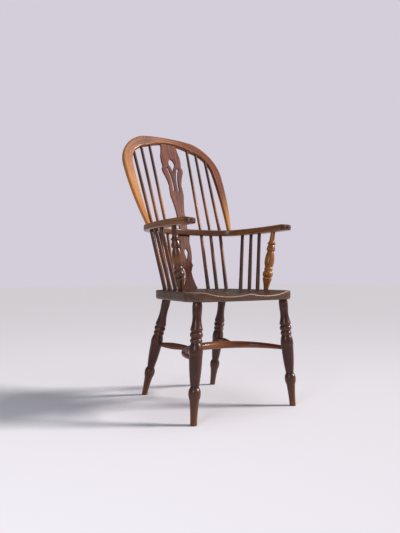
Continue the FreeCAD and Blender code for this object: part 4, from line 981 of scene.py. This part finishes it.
@dataclass
class Underframe:
    """Four turned legs, the bent stretcher between the front ones and its two spurs."""

    seat_underside: float = 416 * MM
    front_foot: tuple[float, float] = (230.5 * MM, -297.4 * MM)
    front_top: tuple[float, float] = (200.5 * MM, -275.5 * MM)
    rear_foot: tuple[float, float] = (177.2 * MM, 177.4 * MM)
    rear_top: tuple[float, float] = (140.5 * MM, 47 * MM)
    height: float = 222.5 * MM
    stretcher_back: float = -58 * MM
    end_radius: float = 7.8 * MM
    mid_radius: float = 15.5 * MM
    setback: float = 20 * MM
    stretcher_inset: float = 4 * MM
    taper_steps: int = 96
    spur_meet: float = 100 * MM
    spur_end_radius: float = 7.3 * MM
    spur_belly_radius: float = 13.2 * MM
    spur_fullness: float = 1.25 * MM
    spur_inset: float = 14.5 * MM
    spur_straight: float = 9 * MM
    spur_tenon: float = 6 * MM

    def build_legs(self, joiner: Joiner) -> None:
        """Turn a leg of each row and stand it and its twin in place."""
        rows = (("front", self.front_foot, self.front_top), ("rear", self.rear_foot, self.rear_top))
        for first, (row, foot, top) in zip((0, 2), rows):
            legs = [Leg(f"{row}_leg_{side.word}", side, Vector((*foot, 0.0)),
                        Vector((*top, self.seat_underside)), first + i) for i, side in enumerate(Side)]
            for leg, piece in zip(legs, Bench.pair(legs[0].turn())):
                leg.stand(piece, joiner)

    def at_height(self, foot: tuple[float, float], top: tuple[float, float]) -> Vector:
        """The point of a leg's axis at the stretcher's height."""
        return Vector((*foot, 0.0)).lerp(Vector((*top, self.seat_underside)),
                                         self.height / self.seat_underside)

    def bend_line(self) -> tuple[Vector, float]:
        """The centre and the radius of the bent stretcher's middle line."""
        leg = self.at_height(self.front_foot, self.front_top)
        run = self.stretcher_back - leg.y
        radius = (leg.x ** 2 + run ** 2) / (2 * run)
        return Vector((0.0, self.stretcher_back - radius, self.height)), radius

    def build_stretcher(self, joiner: Joiner) -> None:
        """Shave the stretcher's taper, bend it and enter it."""
        centre, radius = self.bend_line()
        leg = self.at_height(self.front_foot, self.front_top)
        end_y = leg.y + self.setback
        end = Vector((math.sqrt(radius ** 2 - (end_y - centre.y) ** 2), end_y, self.height))
        turn = math.atan2(end.x, end.y - centre.y)
        arc = [Vector((p.x, p.y, self.height))
               for p in round_plan(Vector((0.0, centre.y)), radius, -turn, turn, 4 * MM)]
        lead_in = [leg.lerp(end, share) for share in (0.0, 0.4, 0.8)]
        path = [Side.RIGHT.of(p) for p in lead_in] + arc + list(reversed(lead_in))
        former = Former(path, Vector((0, 0, 1)))
        lead = (end - leg).length
        bent = former.length - 2 * lead
        stations = [(self.stretcher_inset, self.end_radius, self.end_radius),
                    (lead, self.end_radius, self.end_radius)]
        for i in range(1, self.taper_steps):
            share = i / self.taper_steps
            half = self.end_radius + (self.mid_radius - self.end_radius) * math.sin(math.pi * share)
            stations.append((lead + bent * share, half, half))
        stations += [(former.length - lead, self.end_radius, self.end_radius),
                     (former.length - self.stretcher_inset, self.end_radius, self.end_radius)]
        piece = Bench.draw_out("crinoline_stretcher", Section.ROUND, stations, sides=32)
        Bench.smooth(piece)

        def heels(points: np.ndarray) -> np.ndarray:
            """Where heels have rubbed: the middle, and the lower half of the left part."""
            along = (points[:, 2] - former.length / 2) / former.length
            middle = 0.45 * np.exp(-(along / 0.16) ** 2)
            low = 0.5 * np.exp(-((along - 0.25) / 0.1) ** 2) * (points[:, 1] < 0)
            return middle + low

        Bench.mark(piece, seed(11), heels)
        Bench.bend(piece, former)
        joiner.fit(piece, "crinoline_stretcher", STRETCHER_WOOD)

    def build_spurs(self, joiner: Joiner) -> None:
        """Turn a spur and set it and its twin between their legs and the bent stretcher."""
        centre, radius = self.bend_line()
        leg = self.at_height(self.rear_foot, self.rear_top)
        meet = Vector((self.spur_meet, centre.y + math.sqrt(radius ** 2 - self.spur_meet ** 2),
                       self.height))
        length = (meet - leg).length
        spur = Profile(self.spur_inset, self.spur_end_radius)
        spur.line(self.spur_end_radius, self.spur_straight)
        spur.curve(self.spur_belly_radius, length / 2 - spur.height, self.spur_fullness)
        spur.curve(self.spur_end_radius, length - self.mid_radius - spur.height, self.spur_fullness)
        spur.line(self.spur_end_radius, self.spur_tenon)
        turned = Bench.draw_out("stretcher_spur", Section.ROUND, spur.stations(), sides=28)
        Bench.smooth(turned)
        for side, piece in zip(Side, Bench.pair(turned)):
            Bench.mark(piece, seed(12 + side.value), None)
            Bench.set_in_place(piece, upright_to(side.of(leg), side.of(meet)))
            joiner.fit(piece, f"stretcher_spur_{side.word}", STRETCHER_WOOD)

    def build(self, joiner: Joiner) -> None:
        """Make every piece of the underframe."""
        self.build_legs(joiner)
        self.build_stretcher(joiner)
        self.build_spurs(joiner)


@dataclass
class ArmBow:
    """The arm bow: one flat band, bent round the sitter, that ends in two round tips."""

    top: float = 715 * MM
    thickness: float = 26.5 * MM
    width: float = 38 * MM
    back: float = 149 * MM
    back_radius: float = 390 * MM
    back_half_span: float = 177 * MM
    corner_radius: float = 90 * MM
    side_flare: float = 0.2126
    side_radius: float = 772 * MM
    tip: float = -268 * MM
    rounding: float = 6 * MM
    tip_taper: float = 40 * MM
    tip_drop: float = 9 * MM
    tip_steps: int = 12
    first_step: float = 0.35
    tip_softness: float = 0.8
    tip_fall: float = 1.7

    def __post_init__(self) -> None:
        """Work out the centres of the middle line's arcs."""
        self.back_centre = Vector((0.0, self.back - self.back_radius))
        self.back_turn = math.asin(self.back_half_span / self.back_radius)
        toward = Vector((math.sin(self.back_turn), math.cos(self.back_turn)))
        self.corner = self.back_centre + toward * (self.back_radius - self.corner_radius)
        self.side_turn = math.pi / 2 - math.atan(self.side_flare)
        out = Vector((math.sin(self.side_turn), math.cos(self.side_turn)))
        self.side_centre = self.corner - out * (self.side_radius - self.corner_radius)
        self.tip_turn = math.pi / 2 + math.asin((self.side_centre.y - self.tip) / self.side_radius)

    @property
    def middle(self) -> float:
        """The height of the bow's middle."""
        return self.top - self.thickness / 2

    def back_point(self, x: float, height: float) -> Vector:
        """The middle line's point behind the sitter at x."""
        return Vector((x, self.back_centre.y + math.sqrt(self.back_radius ** 2 - x ** 2), height))

    def corner_point(self, x: float, height: float) -> Vector:
        """The middle line's point on the corner at x."""
        reach = math.sqrt(self.corner_radius ** 2 - (x - self.corner.x) ** 2)
        return Vector((x, self.corner.y + reach, height))

    def side_point(self, y: float, height: float) -> Vector:
        """The middle line's point on the sitter's left at y."""
        reach = math.sqrt(self.side_radius ** 2 - (y - self.side_centre.y) ** 2)
        return Vector((self.side_centre.x + reach, y, height))

    def middle_line(self) -> list[Vector]:
        """The middle line from the right tip round the back to the left tip."""
        half = round_plan(self.back_centre, self.back_radius, 0, self.back_turn, 5 * MM)
        half += round_plan(self.corner, self.corner_radius, self.back_turn, self.side_turn, 5 * MM)[1:]
        half += round_plan(self.side_centre, self.side_radius, self.side_turn, self.tip_turn, 5 * MM)[1:]
        left = [Vector((p.x, p.y, self.middle)) for p in half]
        return [Side.RIGHT.of(p) for p in reversed(left[1:])] + left

    def build(self, joiner: Joiner) -> None:
        """Shave the band, round its tips, bend it and enter it."""
        former = Former(self.middle_line(), Vector((0, 0, 1)))
        half_width, half_thickness = self.width / 2, self.thickness / 2
        tip: list[Station] = []
        for i in range(self.tip_steps + 1):
            turn = math.pi / 2 * max(i, self.first_step) / self.tip_steps
            soft = 0.5 + 0.5 * math.sin(turn) ** self.tip_softness
            tip.append((-half_width * math.cos(turn), half_width * math.sin(turn), half_thickness * soft))
        count = round(former.length / (6 * MM))
        body = [(former.length * i / count, half_width, half_thickness) for i in range(1, count)]
        far_tip = [(former.length - reach, half_x, half_y) for reach, half_x, half_y in reversed(tip)]
        piece = Bench.draw_out("arm_bow", Section.SQUARED, tip + body + far_tip,
                               corner=self.rounding, nominal=(half_width, half_thickness))
        places = Bench.coordinates(piece)
        ends = np.minimum(places[:, 2], former.length - places[:, 2])
        fall = np.clip((self.tip_taper - half_width - ends) / self.tip_taper, 0, 1) ** self.tip_fall
        lift = np.clip(places[:, 1] / half_thickness, 0, 1)
        places[:, 1] -= self.tip_drop * fall * lift
        Bench.move_vertices(piece, places)
        Bench.smooth(piece, 45)

        def darkened(points: np.ndarray) -> np.ndarray:
            """The tips and the middle of the back, red and dark from hands and polish."""
            reach = np.minimum(points[:, 2], former.length - points[:, 2])
            share = points[:, 2] / former.length
            tips = np.clip((18 * MM - reach) / (14 * MM), 0, 0.9)
            return np.maximum(tips, 0.85 * np.exp(-((share - 0.54) / 0.15) ** 4))

        Bench.mark(piece, Vector((0.02, 0.05, 3.1)), darkened, depth=0.8 * MM)
        Bench.bend(piece, former)
        joiner.fit(piece, "arm_bow", ARM_WOOD)


@dataclass
class Hoop:
    """The bent top hoop, in its own leaning plane."""

    bow: ArmBow
    lean: float = math.radians(27)
    foot_x: float = 205 * MM
    crest: float = 494 * MM
    half_width: float = 251.5 * MM
    foot_width: float = 15.5 * MM
    outer_crest: tuple[float, float] = (480 * MM, 150 * MM)
    crest_width: float = 34.5 * MM
    side_width: float = 36 * MM
    inner_crest: tuple[float, float] = (440 * MM, 100 * MM)
    crest_depth: float = 22 * MM
    foot_depth: float = 16.5 * MM
    rounding: float = 6 * MM
    housed: float = 5 * MM
    housing_step: float = 1 * MM
    tenon: float = 17 * MM
    tenon_radius: float = 7.5 * MM

    @property
    def origin(self) -> Vector:
        """The middle of the hoop's base line."""
        return Vector((0.0, self.bow.corner_point(self.foot_x, 0.0).y, self.bow.top))

    def point(self, x: float, rise: float) -> Vector:
        """A point of the hoop's middle plane, by its height up the slope."""
        return self.origin + Vector((x, rise * math.sin(self.lean), rise * math.cos(self.lean)))

    def edge(self, crest: float, crest_arc: tuple[float, float], half_width: float,
             foot: float) -> tuple[list[Vector], Vector, float]:
        """One edge of the hoop from the middle of its crest down to the left foot.

        Args:
            crest: The height of its top.
            crest_arc: The crest's radius and half its span.
            half_width: How far out the edge reaches.
            foot: Where it meets the arm bow.

        Returns:
            Its points, the same number for every edge, and the shoulder's centre and radius.
        """
        radius, half_span = crest_arc
        turn = math.asin(half_span / radius)
        shoulder_radius = (half_width - half_span) / (1 - half_span / radius)
        toward = Vector((math.sin(turn), math.cos(turn)))
        centre = Vector((0.0, crest - radius))
        shoulder = centre + toward * (radius - shoulder_radius)
        spread = half_width - foot
        side_radius = (shoulder.y ** 2 + spread ** 2) / (2 * spread)
        side_centre = Vector((half_width - side_radius, shoulder.y))
        side_turn = math.asin(shoulder.y / side_radius)
        parts = ((centre, radius, 0.0, turn, 20), (shoulder, shoulder_radius, turn, math.pi / 2, 60),
                 (side_centre, side_radius, math.pi / 2, math.pi / 2 + side_turn, 50))
        points = [Vector((0.0, crest))]
        for middle, reach, start, end, count in parts:
            for i in range(1, count + 1):
                angle = start + (end - start) * i / count
                points.append(middle + Vector((math.sin(angle), math.cos(angle))) * reach)
        return points, shoulder, shoulder_radius

    def outer_edge(self) -> list[Vector]:
        """The hoop's outer edge."""
        return self.edge(self.crest, self.outer_crest, self.half_width,
                         self.foot_x + self.foot_width / 2)[0]

    def inner_edge(self) -> tuple[list[Vector], Vector, float]:
        """The hoop's inner edge, and the centre and radius of its shoulder."""
        return self.edge(self.crest - self.crest_width, self.inner_crest,
                         self.half_width - self.side_width, self.foot_x - self.foot_width / 2)

    def under_crest(self, x: float) -> float:
        """How high up its slope the hoop's inner edge lies at x."""
        _, shoulder, radius = self.inner_edge()
        return shoulder.y + math.sqrt(radius ** 2 - (x - shoulder.x) ** 2)

    def build(self, joiner: Joiner) -> None:
        """Shave the hoop's stock, bend it over its former and lean it back."""
        outer, (inner, _, _) = self.outer_edge(), self.inner_edge()
        left = [(a + b) / 2 for a, b in zip(outer, inner)]
        widths = [(a - b).length / 2 for a, b in zip(outer, inner)]
        half_line = [Vector((p.x, 0.0, p.y)) for p in left]
        line = [Side.RIGHT.of(p) for p in reversed(half_line[1:])] + half_line
        widths = list(reversed(widths[1:])) + widths
        former = Former(line, Vector((0, 1, 0)))
        stations: list[Station] = []
        for reach, point, half in zip(former.reach, line, widths):
            share = max(point.z, 0.0) / self.crest
            depth = (self.foot_depth + (self.crest_depth - self.foot_depth) * share) / 2
            stations.append((float(reach), half, depth))
        start, end = stations[0], stations[-1]
        neck = self.housed + self.housing_step
        peg = (self.tenon_radius, self.tenon_radius)
        stations = [(-self.tenon, *peg), (-neck, *peg), (-self.housed, *start[1:]), *stations,
                    (end[0] + self.housed, *end[1:]), (end[0] + neck, *peg), (end[0] + self.tenon, *peg)]
        piece = Bench.draw_out("top_hoop", Section.SQUARED, stations, corner=self.rounding,
                               nominal=(self.side_width / 2, self.crest_depth / 2))
        Bench.smooth(piece, 45)

        def sides(points: np.ndarray) -> np.ndarray:
            """Painted light on the right-hand side and the left foot, a lighter gold; a fainter band of the
            same colour lies across the crest.
            """
            share = points[:, 2] / former.length
            right = 0.85 * np.clip((0.40 - share) / 0.22, 0, 1)
            crest = 0.22 * np.exp(-((share - 0.47) / 0.06) ** 2)
            lit_left_foot = 0.7 * np.clip((share - 0.84) / 0.12, 0, 1)
            return right + crest + lit_left_foot

        Bench.mark(piece, Vector((0.03, 0.04, 5.3)), sides, depth=0.7 * MM)
        Bench.bend(piece, former)
        Bench.set_in_place(piece, leaned_back(self.origin, self.lean))
        joiner.fit(piece, "top_hoop", HOOP_WOOD)


@dataclass
class Sticks:
    """The long and the short tapered sticks of the back and the sides."""

    seat: Seat
    bow: ArmBow
    hoop: Hoop
    seat_radius: float = 8.4 * MM
    bow_radius: float = 7.1 * MM
    hoop_radius: float = 6.5 * MM
    seat_socket: float = 16 * MM
    bow_socket: float = 15 * MM
    hoop_socket: float = 11 * MM
    unevenness: float = 0.02
    long_seat_x: tuple[float, ...] = (84 * MM, 120.6 * MM, 155.3 * MM)
    long_bow_x: tuple[float, ...] = (87.6 * MM, 130.7 * MM, 172.1 * MM)
    long_hoop_x: tuple[float, ...] = (100.5 * MM, 146.1 * MM, 190 * MM)
    short_seat_y: tuple[float, ...] = (-23 * MM, -76 * MM, -124 * MM)
    short_bow_y: tuple[float, ...] = (16 * MM, -36 * MM, -87 * MM)

    def long_points(self, number: int) -> tuple[Vector, Vector, Vector]:
        """A long stick's points on the seat, in the bow and under the hoop, on the left."""
        hoop_x = self.long_hoop_x[number]
        return (self.seat.ring_point(self.long_seat_x[number]),
                self.bow.back_point(self.long_bow_x[number], self.bow.middle),
                self.hoop.point(hoop_x, self.hoop.under_crest(hoop_x)))

    def short_points(self, number: int) -> tuple[Vector, Vector]:
        """A short stick's points on the seat and under the bow, on the left."""
        return (self.seat.side_ring_point(self.short_seat_y[number]),
                self.bow.side_point(self.short_bow_y[number], self.bow.top - self.bow.thickness))

    def into_seat(self, seat: Vector, bow: Vector) -> Vector:
        """The foot of a stick in its socket, straight on from its line down to the seat."""
        return seat + (seat - bow) * (self.seat_socket / abs(seat.z - bow.z))

    def former(self, points: Sequence[Vector]) -> Former:
        """The line a stick stands on, through its ends and its bend."""
        path: list[Vector] = []
        for start, end in zip(points, points[1:]):
            count = max(8, round((end - start).length / (9 * MM)))
            path += [start.lerp(end, i / count) for i in range(count)]
        path.append(points[-1])
        return Former(path, Vector((0, 1, 0)))

    def shave_pair(self, kind: str, place: int, points: Sequence[Vector], radii: Sequence[float],
                   joiner: Joiner) -> None:
        """Shave a stick to its taper, copy it, and spring both into their curves.

        Args:
            kind: long or short.
            place: The stick's place, 1 nearest to the middle of the back.
            points: The left stick's ends, and the place of its bend where it has one.
            radii: Its radius at each point.
            joiner: Who enters both.
        """
        straight_line = self.former(points)
        marks = [0.0]
        for start, end in zip(points, points[1:]):
            marks.append(marks[-1] + (end - start).length)
        count = len(straight_line.reach) - 1
        stations = []
        for i in range(count + 1):
            reach = straight_line.length * i / count
            wave = 1 + self.unevenness * math.sin(reach * 31 + place * 2)
            radius = float(np.interp(reach, marks, radii)) * wave
            stations.append((reach, radius, radius))
        shaved = Bench.draw_out(f"{kind}_stick", Section.ROUND, stations, sides=20)
        Bench.smooth(shaved)
        strength = 0.75 if kind == "long" else 0.12
        for side, piece in zip(Side, Bench.pair(shaved)):
            number = place * 2 + side.value + (8 if kind == "short" else 0)

            def handled(stock: np.ndarray, turn: float = number * 2.4) -> np.ndarray:
                """Lighter lengths, low on a stick and about its middle."""
                share = stock[:, 2] / straight_line.length
                low = np.exp(-((share - 0.55) / 0.13) ** 2) + 0.8 * np.exp(-((share - 0.25) / 0.11) ** 2)
                return strength * low * (0.8 + 0.2 * math.sin(turn))

            Bench.mark(piece, seed(number + 20), handled, passes=3)
            Bench.bend(piece, self.former([side.of(p) for p in points]))
            joiner.fit(piece, f"{kind}_stick_{side.word}_{place}", STICK_WOOD)

    def build(self, joiner: Joiner) -> None:
        """Make the six long and the six short sticks."""
        radii = (self.seat_radius, self.bow_radius, self.hoop_radius)
        for i in range(len(self.long_seat_x)):
            seat, bow, hoop = self.long_points(i)
            start = self.into_seat(seat, bow)
            end = hoop + (hoop - bow).normalized() * self.hoop_socket
            self.shave_pair("long", i + 1, (start, bow, end), radii, joiner)
            seat, bow = self.short_points(i)
            start = self.into_seat(seat, bow)
            end = bow + (bow - seat) * (self.bow_socket / abs(seat.z - bow.z))
            self.shave_pair("short", i + 1, (start, end), radii[:2], joiner)


@dataclass
class ArmSupport:
    """The turned support under the front of each arm."""

    seat: Seat
    bow: ArmBow
    seat_y: float = -171 * MM
    bow_y: float = -177 * MM
    socket: float = 16 * MM
    bow_socket: float = 15 * MM
    tenon_radius: float = 8.6 * MM
    foot_radius: float = 9.6 * MM
    gap: float = 2 * MM
    cup: tuple[float, float, float] = (18.8 * MM, 42 * MM, -0.8 * MM)
    cup_rim: float = 5 * MM
    lower_gap_radius: float = 15.5 * MM
    lower_bead: tuple[float, float] = (21 * MM, 27 * MM)
    lower_ring: tuple[float, float] = (17.4 * MM, 12 * MM)
    vase_foot_radius: float = 14.8 * MM
    vase: tuple[float, float, float] = (19.8 * MM, 22 * MM, 1.2 * MM)
    neck: tuple[float, float, float] = (13.2 * MM, 44 * MM, 1.8 * MM)
    bead_rise: tuple[float, float, float] = (18 * MM, 8 * MM, 0.8 * MM)
    bead_fall: tuple[float, float, float] = (12.8 * MM, 20 * MM, 0.8 * MM)
    collar_rise: tuple[float, float, float] = (17.8 * MM, 5 * MM, 0.8 * MM)
    collar_fall: tuple[float, float, float] = (10.4 * MM, 17 * MM, -2 * MM)
    top_radius: float = 9.2 * MM
    arris: float = 0.35 * MM

    def profile(self, length: float) -> Profile:
        """Half the support's outline for a length from the seat to the bow."""
        turned = Profile(-self.socket, self.tenon_radius)
        turned.line(self.tenon_radius, self.socket)
        turned.line(self.foot_radius, self.gap)
        turned.curve(*self.cup)
        turned.line(self.cup[0], self.cup_rim)
        turned.line(self.lower_gap_radius, self.gap)
        turned.bead(self.lower_gap_radius, *self.lower_bead)
        turned.line(self.lower_gap_radius, self.gap)
        turned.bead(self.lower_gap_radius, *self.lower_ring)
        turned.line(self.vase_foot_radius, self.gap)
        for bend in (self.vase, self.neck, self.bead_rise, self.bead_fall, self.collar_rise,
                     self.collar_fall):
            turned.curve(*bend)
        turned.line(self.top_radius, length - turned.height)
        turned.line(self.top_radius, self.bow_socket)
        return turned

    def build(self, joiner: Joiner) -> None:
        """Turn both supports, each with a grain of its own, and set them in place."""
        foot = self.seat.side_ring_point(self.seat_y)
        top = self.bow.side_point(self.bow_y, self.bow.top - self.bow.thickness)
        turned = Bench.draw_out("arm_support", Section.ROUND, self.profile((top - foot).length).stations())
        Bench.soften(turned, self.arris)
        Bench.smooth(turned)
        for side, piece in zip(Side, Bench.pair(turned)):
            # Painted shade: the right-hand support is darkened almost all over, the left one only a little.
            painted_shade_share = 0.95 if side is Side.RIGHT else 0.12

            def aged(points: np.ndarray, share: float = painted_shade_share) -> np.ndarray:
                """How far painted shade darkens the support, least on its vase."""
                return share * (1 - 0.4 * np.exp(-((points[:, 2] - 0.118) / 0.018) ** 2))

            Bench.mark(piece, seed(40 + side.value), aged, depth=0.8 * MM)
            Bench.set_in_place(piece, upright_to(side.of(foot), side.of(top)))
            joiner.fit(piece, f"arm_support_{side.word}", SUPPORT_WOOD)


@dataclass
class Splat:
    """A pierced board that stands between two rails in the middle of the back."""

    name: str
    foot: Vector
    top: Vector
    stations: tuple[tuple[float, float, float], ...]
    foot_housing: float
    head_housing: float
    drop: tuple[float, ...]
    slots: tuple[tuple[float, float, float, float], ...] = ()
    thickness: float = 9.5 * MM
    slot_end: float = 3.5 * MM
    arris: float = 0.9 * MM
    number: int = 60

    def outline(self, length: float) -> list[Vector]:
        """The board's outline, once round from the middle of its foot."""
        half, height, swell = self.stations[0]
        points = [Vector((half, -self.foot_housing)), Vector((half, height))]
        for next_half, rise, next_swell in self.stations[1:]:
            height += rise
            end = Vector((next_half, height))
            if swell:
                points += arc_through(points[-1], end, -swell, 1.5 * MM)[1:]
            else:
                points += straight(points[-1], end, 4 * MM)[1:]
            swell = next_swell
        points += straight(points[-1], Vector((points[-1].x, length + self.head_housing)), 4 * MM)[1:]
        return points + [Vector((-p.x, p.y)) for p in reversed(points)]

    def drop_outline(self) -> list[Vector]:
        """The tear-shaped opening with its point down."""
        tip_height, half, rise, fall, flank, crown = self.drop
        tip = Vector((0.0, tip_height))
        widest = Vector((half, tip_height + rise))
        top = Vector((0.0, tip_height + rise + fall))
        points = arc_through(tip, widest, flank, 1.5 * MM) + arc_through(widest, top, -crown, 1.0 * MM)[1:]
        return points + [Vector((-p.x, p.y)) for p in reversed(points[1:-1])]

    def slot_outline(self, side: Side) -> list[Vector]:
        """One of the long slots beside the board's middle."""
        height, inner, outer, bows = 0.0, [], [], []
        for inner_x, outer_x, rise, bow in self.slots:
            height += rise
            inner.append(Vector((inner_x, height)))
            outer.append(Vector((outer_x, height)))
            bows.append(bow)
        points = [inner[0]]
        for end, bow in zip(inner[1:], bows):
            points += arc_through(points[-1], end, bow, 1.5 * MM)[1:]
        points += arc_through(points[-1], outer[-1], self.slot_end, 0.8 * MM)[1:]
        for end, bow in reversed(list(zip(outer, bows[:-1]))):
            points += arc_through(points[-1], end, -bow, 1.5 * MM)[1:]
        points += arc_through(points[-1], inner[0], self.slot_end, 0.8 * MM)[1:-1]
        return [Vector((p.x * side.value, p.y)) for p in points]

    def build(self, joiner: Joiner) -> None:
        """Saw the board, pierce it, ease its arrises and set it in place."""
        piece = Bench.board(self.name, self.outline((self.top - self.foot).length), self.thickness)
        openings = [self.drop_outline()]
        openings += [self.slot_outline(side) for side in Side if self.slots]
        for opening in openings:
            Bench.pierce(piece, Bench.board("opening", opening, self.thickness * 3))
        Bench.soften(piece, self.arris, segments=3)
        Bench.smooth(piece, 60)
        Bench.apply(piece, "WEIGHTED_NORMAL", keep_sharp=True, weight=80)
        own = Bench.coordinates(piece)
        deep = np.abs(own[:, 1])
        margin = 0.02 * MM
        face, wall = self.thickness / 2 - margin, self.thickness / 2 - self.arris + margin
        # The opening walls get a low relief so that the dark mix paints shade on them; faces stay level and
        # arrises take the worn colour.
        level, painted_wall_shade, rubbed = 0.5, 0.18, 0.78
        relief = np.where(deep > face, level, np.where(deep < wall, painted_wall_shade, rubbed))
        stock = own[:, (1, 0, 2)]
        Bench.mark(piece, Vector((0.004, 0.012, 0.3 * self.number)), None, stock=stock, relief=relief)
        lean = math.atan2(self.top.y - self.foot.y, self.top.z - self.foot.z)
        Bench.set_in_place(piece, leaned_back(self.foot, lean))
        joiner.fit(piece, self.name, SPLAT_WOOD)


def straight(start: Vector, end: Vector, step: float) -> list[Vector]:
    """Points of a straight edge about a step apart, both ends among them."""
    count = max(1, round((end - start).length / step))
    return [start.lerp(end, i / count) for i in range(count + 1)]


def millimetres(*rows: tuple[float, ...]) -> tuple[tuple[float, ...], ...]:
    """Rows of millimetres as metres."""
    return tuple(tuple(number * MM for number in row) for row in rows)


@dataclass
class Back:
    """The two splats of the back, one over the other."""

    seat: Seat
    bow: ArmBow
    hoop: Hoop
    head_forward: float = 3.7 * MM
    housing: float = 8 * MM
    seat_housing: float = 12 * MM
    upper_stations: tuple[tuple[float, ...], ...] = millimetres(
        (19.6, 1, 0), (20, 82, -1.2), (33.5, 82, 0.6), (31.5, 53, -2.5), (52, 67, 0), (54, 19, -1.5),
        (48, 17, 2.5), (49, 54, -1), (40, 47, 0))
    lower_stations: tuple[tuple[float, ...], ...] = millimetres(
        (33, 6, -3.5), (13.5, 70, -0.6), (26, 31, -2), (21.5, 17, 4), (22.5, 84, -1), (27, 28, 0))
    slots: tuple[tuple[float, ...], ...] = millimetres(
        (8.8, 18.2, 190, 3), (12.5, 22.5, 80, 0.8), (22.5, 33, 37, 0))
    upper_drop: tuple[float, ...] = millimetres((282, 16.5, 43, 33, 2.1, 5.5))[0]
    lower_drop: tuple[float, ...] = millimetres((112, 10.5, 48, 24, 1.3, 3.5))[0]

    def build(self, joiner: Joiner) -> None:
        """Make both splats."""
        underside = self.bow.top - self.bow.thickness
        crest = self.hoop.point(0.0, self.hoop.crest - self.hoop.crest_width)
        upper = Splat("upper_splat", Vector((0.0, self.bow.back, self.bow.top)), crest,
                      self.upper_stations, self.housing, self.housing, self.upper_drop, self.slots,
                      number=61)
        lower = Splat("lower_splat", self.seat.ring_point(0.0),
                      Vector((0.0, self.bow.back - self.head_forward, underside)),
                      self.lower_stations, self.seat_housing, self.housing, self.lower_drop, number=62)
        upper.build(joiner)
        lower.build(joiner)


@dataclass
class Chair:
    """The whole chair, made from the floor up."""

    seat: Seat = field(default_factory=Seat)
    underframe: Underframe = field(default_factory=Underframe)
    bow: ArmBow = field(default_factory=ArmBow)

    def build(self, joiner: Joiner) -> None:
        """Make every sub-assembly and enter it."""
        hoop = Hoop(self.bow)
        parts = (self.seat, self.underframe, self.bow, hoop, Sticks(self.seat, self.bow, hoop),
                 ArmSupport(self.seat, self.bow), Back(self.seat, self.bow, hoop))
        for part in parts:
            part.build(joiner)


@dataclass(frozen=True)
class Lamp:
    """One soft light: an AREA's size is its side, and a SUN's is how wide it looks, in radians."""

    kind: str
    name: str
    place: tuple[float, float, float]
    size: float
    power: float
    colour: Colour


LAMPS = (Lamp("SUN", "key", (2.7, -1.7, 2.5), 0.20, 4.3, (1.0, 0.97, 0.93)),
         Lamp("AREA", "fill", (-2.4, -1.6, 1.5), 1.0, 24, (0.88, 0.94, 1.0)),
         Lamp("AREA", "top", (0.4, -0.4, 2.6), 1.0, 12, (0.95, 0.97, 1.0)))


@dataclass
class Studio:
    """The floor, the backdrop, the lights and the camera."""

    ground: Colour = (0.72, 0.69, 0.735)
    backdrop: Colour = (0.655, 0.615, 0.70)
    sky: Colour = (0.90, 0.93, 1.0)
    ambient: float = 0.24
    floor_size: float = 40.0
    aim: Vector = field(default_factory=lambda: Vector((0, 0, 0.6)))
    camera_place: tuple[float, float, float] = (-1.1112, -1.6785, 0.5080)
    camera_turn: tuple[float, float, float] = (90 + 1.0963, 0.0, -33.2923)
    lens: float = 32.42
    sensor: float = 36.0
    nearest: float = 0.05

    def lay_floor(self) -> None:
        """Lay the plain pale floor."""
        bpy.ops.object.select_all(action="DESELECT")
        bpy.ops.mesh.primitive_plane_add(size=self.floor_size)
        floor = bpy.context.object
        floor.name = "floor"
        material = bpy.data.materials.new("pale_floor")
        material.use_nodes = True
        shader = material.node_tree.nodes["Principled BSDF"]
        shader.inputs["Base Color"].default_value = (*self.ground, 1.0)
        shader.inputs["Roughness"].default_value = 0.9
        shader.inputs["Specular IOR Level"].default_value = 0.1
        floor.data.materials.append(material)

    def hang_backdrop(self) -> None:
        """Light the world softly and show the backdrop's colour behind the chair."""
        world = bpy.data.worlds.new("studio")
        world.use_nodes = True
        bpy.context.scene.world = world
        graph = Graph(world.node_tree)
        soft = graph.add("ShaderNodeBackground", {"Color": self.sky, "Strength": self.ambient})
        seen = graph.add("ShaderNodeBackground", {"Color": self.backdrop})
        rays = graph.node("ShaderNodeLightPath")
        pick = graph.add("ShaderNodeMixShader", {0: rays.outputs["Is Camera Ray"], 1: soft.outputs[0],
                                                 2: seen.outputs[0]})
        graph.add("ShaderNodeOutputWorld", {"Surface": pick.outputs[0]})

    def hang_light(self, lamp: Lamp) -> None:
        """Hang one soft light that faces the chair."""
        bpy.ops.object.light_add(type=lamp.kind, location=lamp.place)
        light = bpy.context.object
        light.name = lamp.name
        if lamp.kind == "SUN":
            light.data.angle = lamp.size
        else:
            light.data.shape = "SQUARE"
            light.data.size = lamp.size
        light.data.energy = lamp.power
        light.data.color = lamp.colour
        light.rotation_euler = (self.aim - Vector(lamp.place)).to_track_quat("-Z", "Y").to_euler()

    def stand_camera(self) -> None:
        """Stand the camera where the photograph was taken from."""
        bpy.ops.object.camera_add(location=self.camera_place,
                                  rotation=[math.radians(angle) for angle in self.camera_turn])
        camera = bpy.context.object
        camera.data.lens = self.lens
        camera.data.sensor_width = self.sensor
        camera.data.clip_start = self.nearest
        bpy.context.scene.camera = camera

    def set_up(self) -> None:
        """Make everything round the chair."""
        self.lay_floor()
        self.hang_backdrop()
        for lamp in LAMPS:
            self.hang_light(lamp)
        self.stand_camera()
        bpy.context.scene.view_settings.view_transform = "Standard"


def main() -> None:
    """Build the chair over its frame and light it."""
    logging.basicConfig(level=logging.INFO, format="%(name)s %(levelname)s %(message)s")
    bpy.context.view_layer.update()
    joiner = Joiner()
    Chair().build(joiner)
    Studio().set_up()
    log.info("%d pieces made", len(joiner.made))


if __name__ == "__main__":
    main()
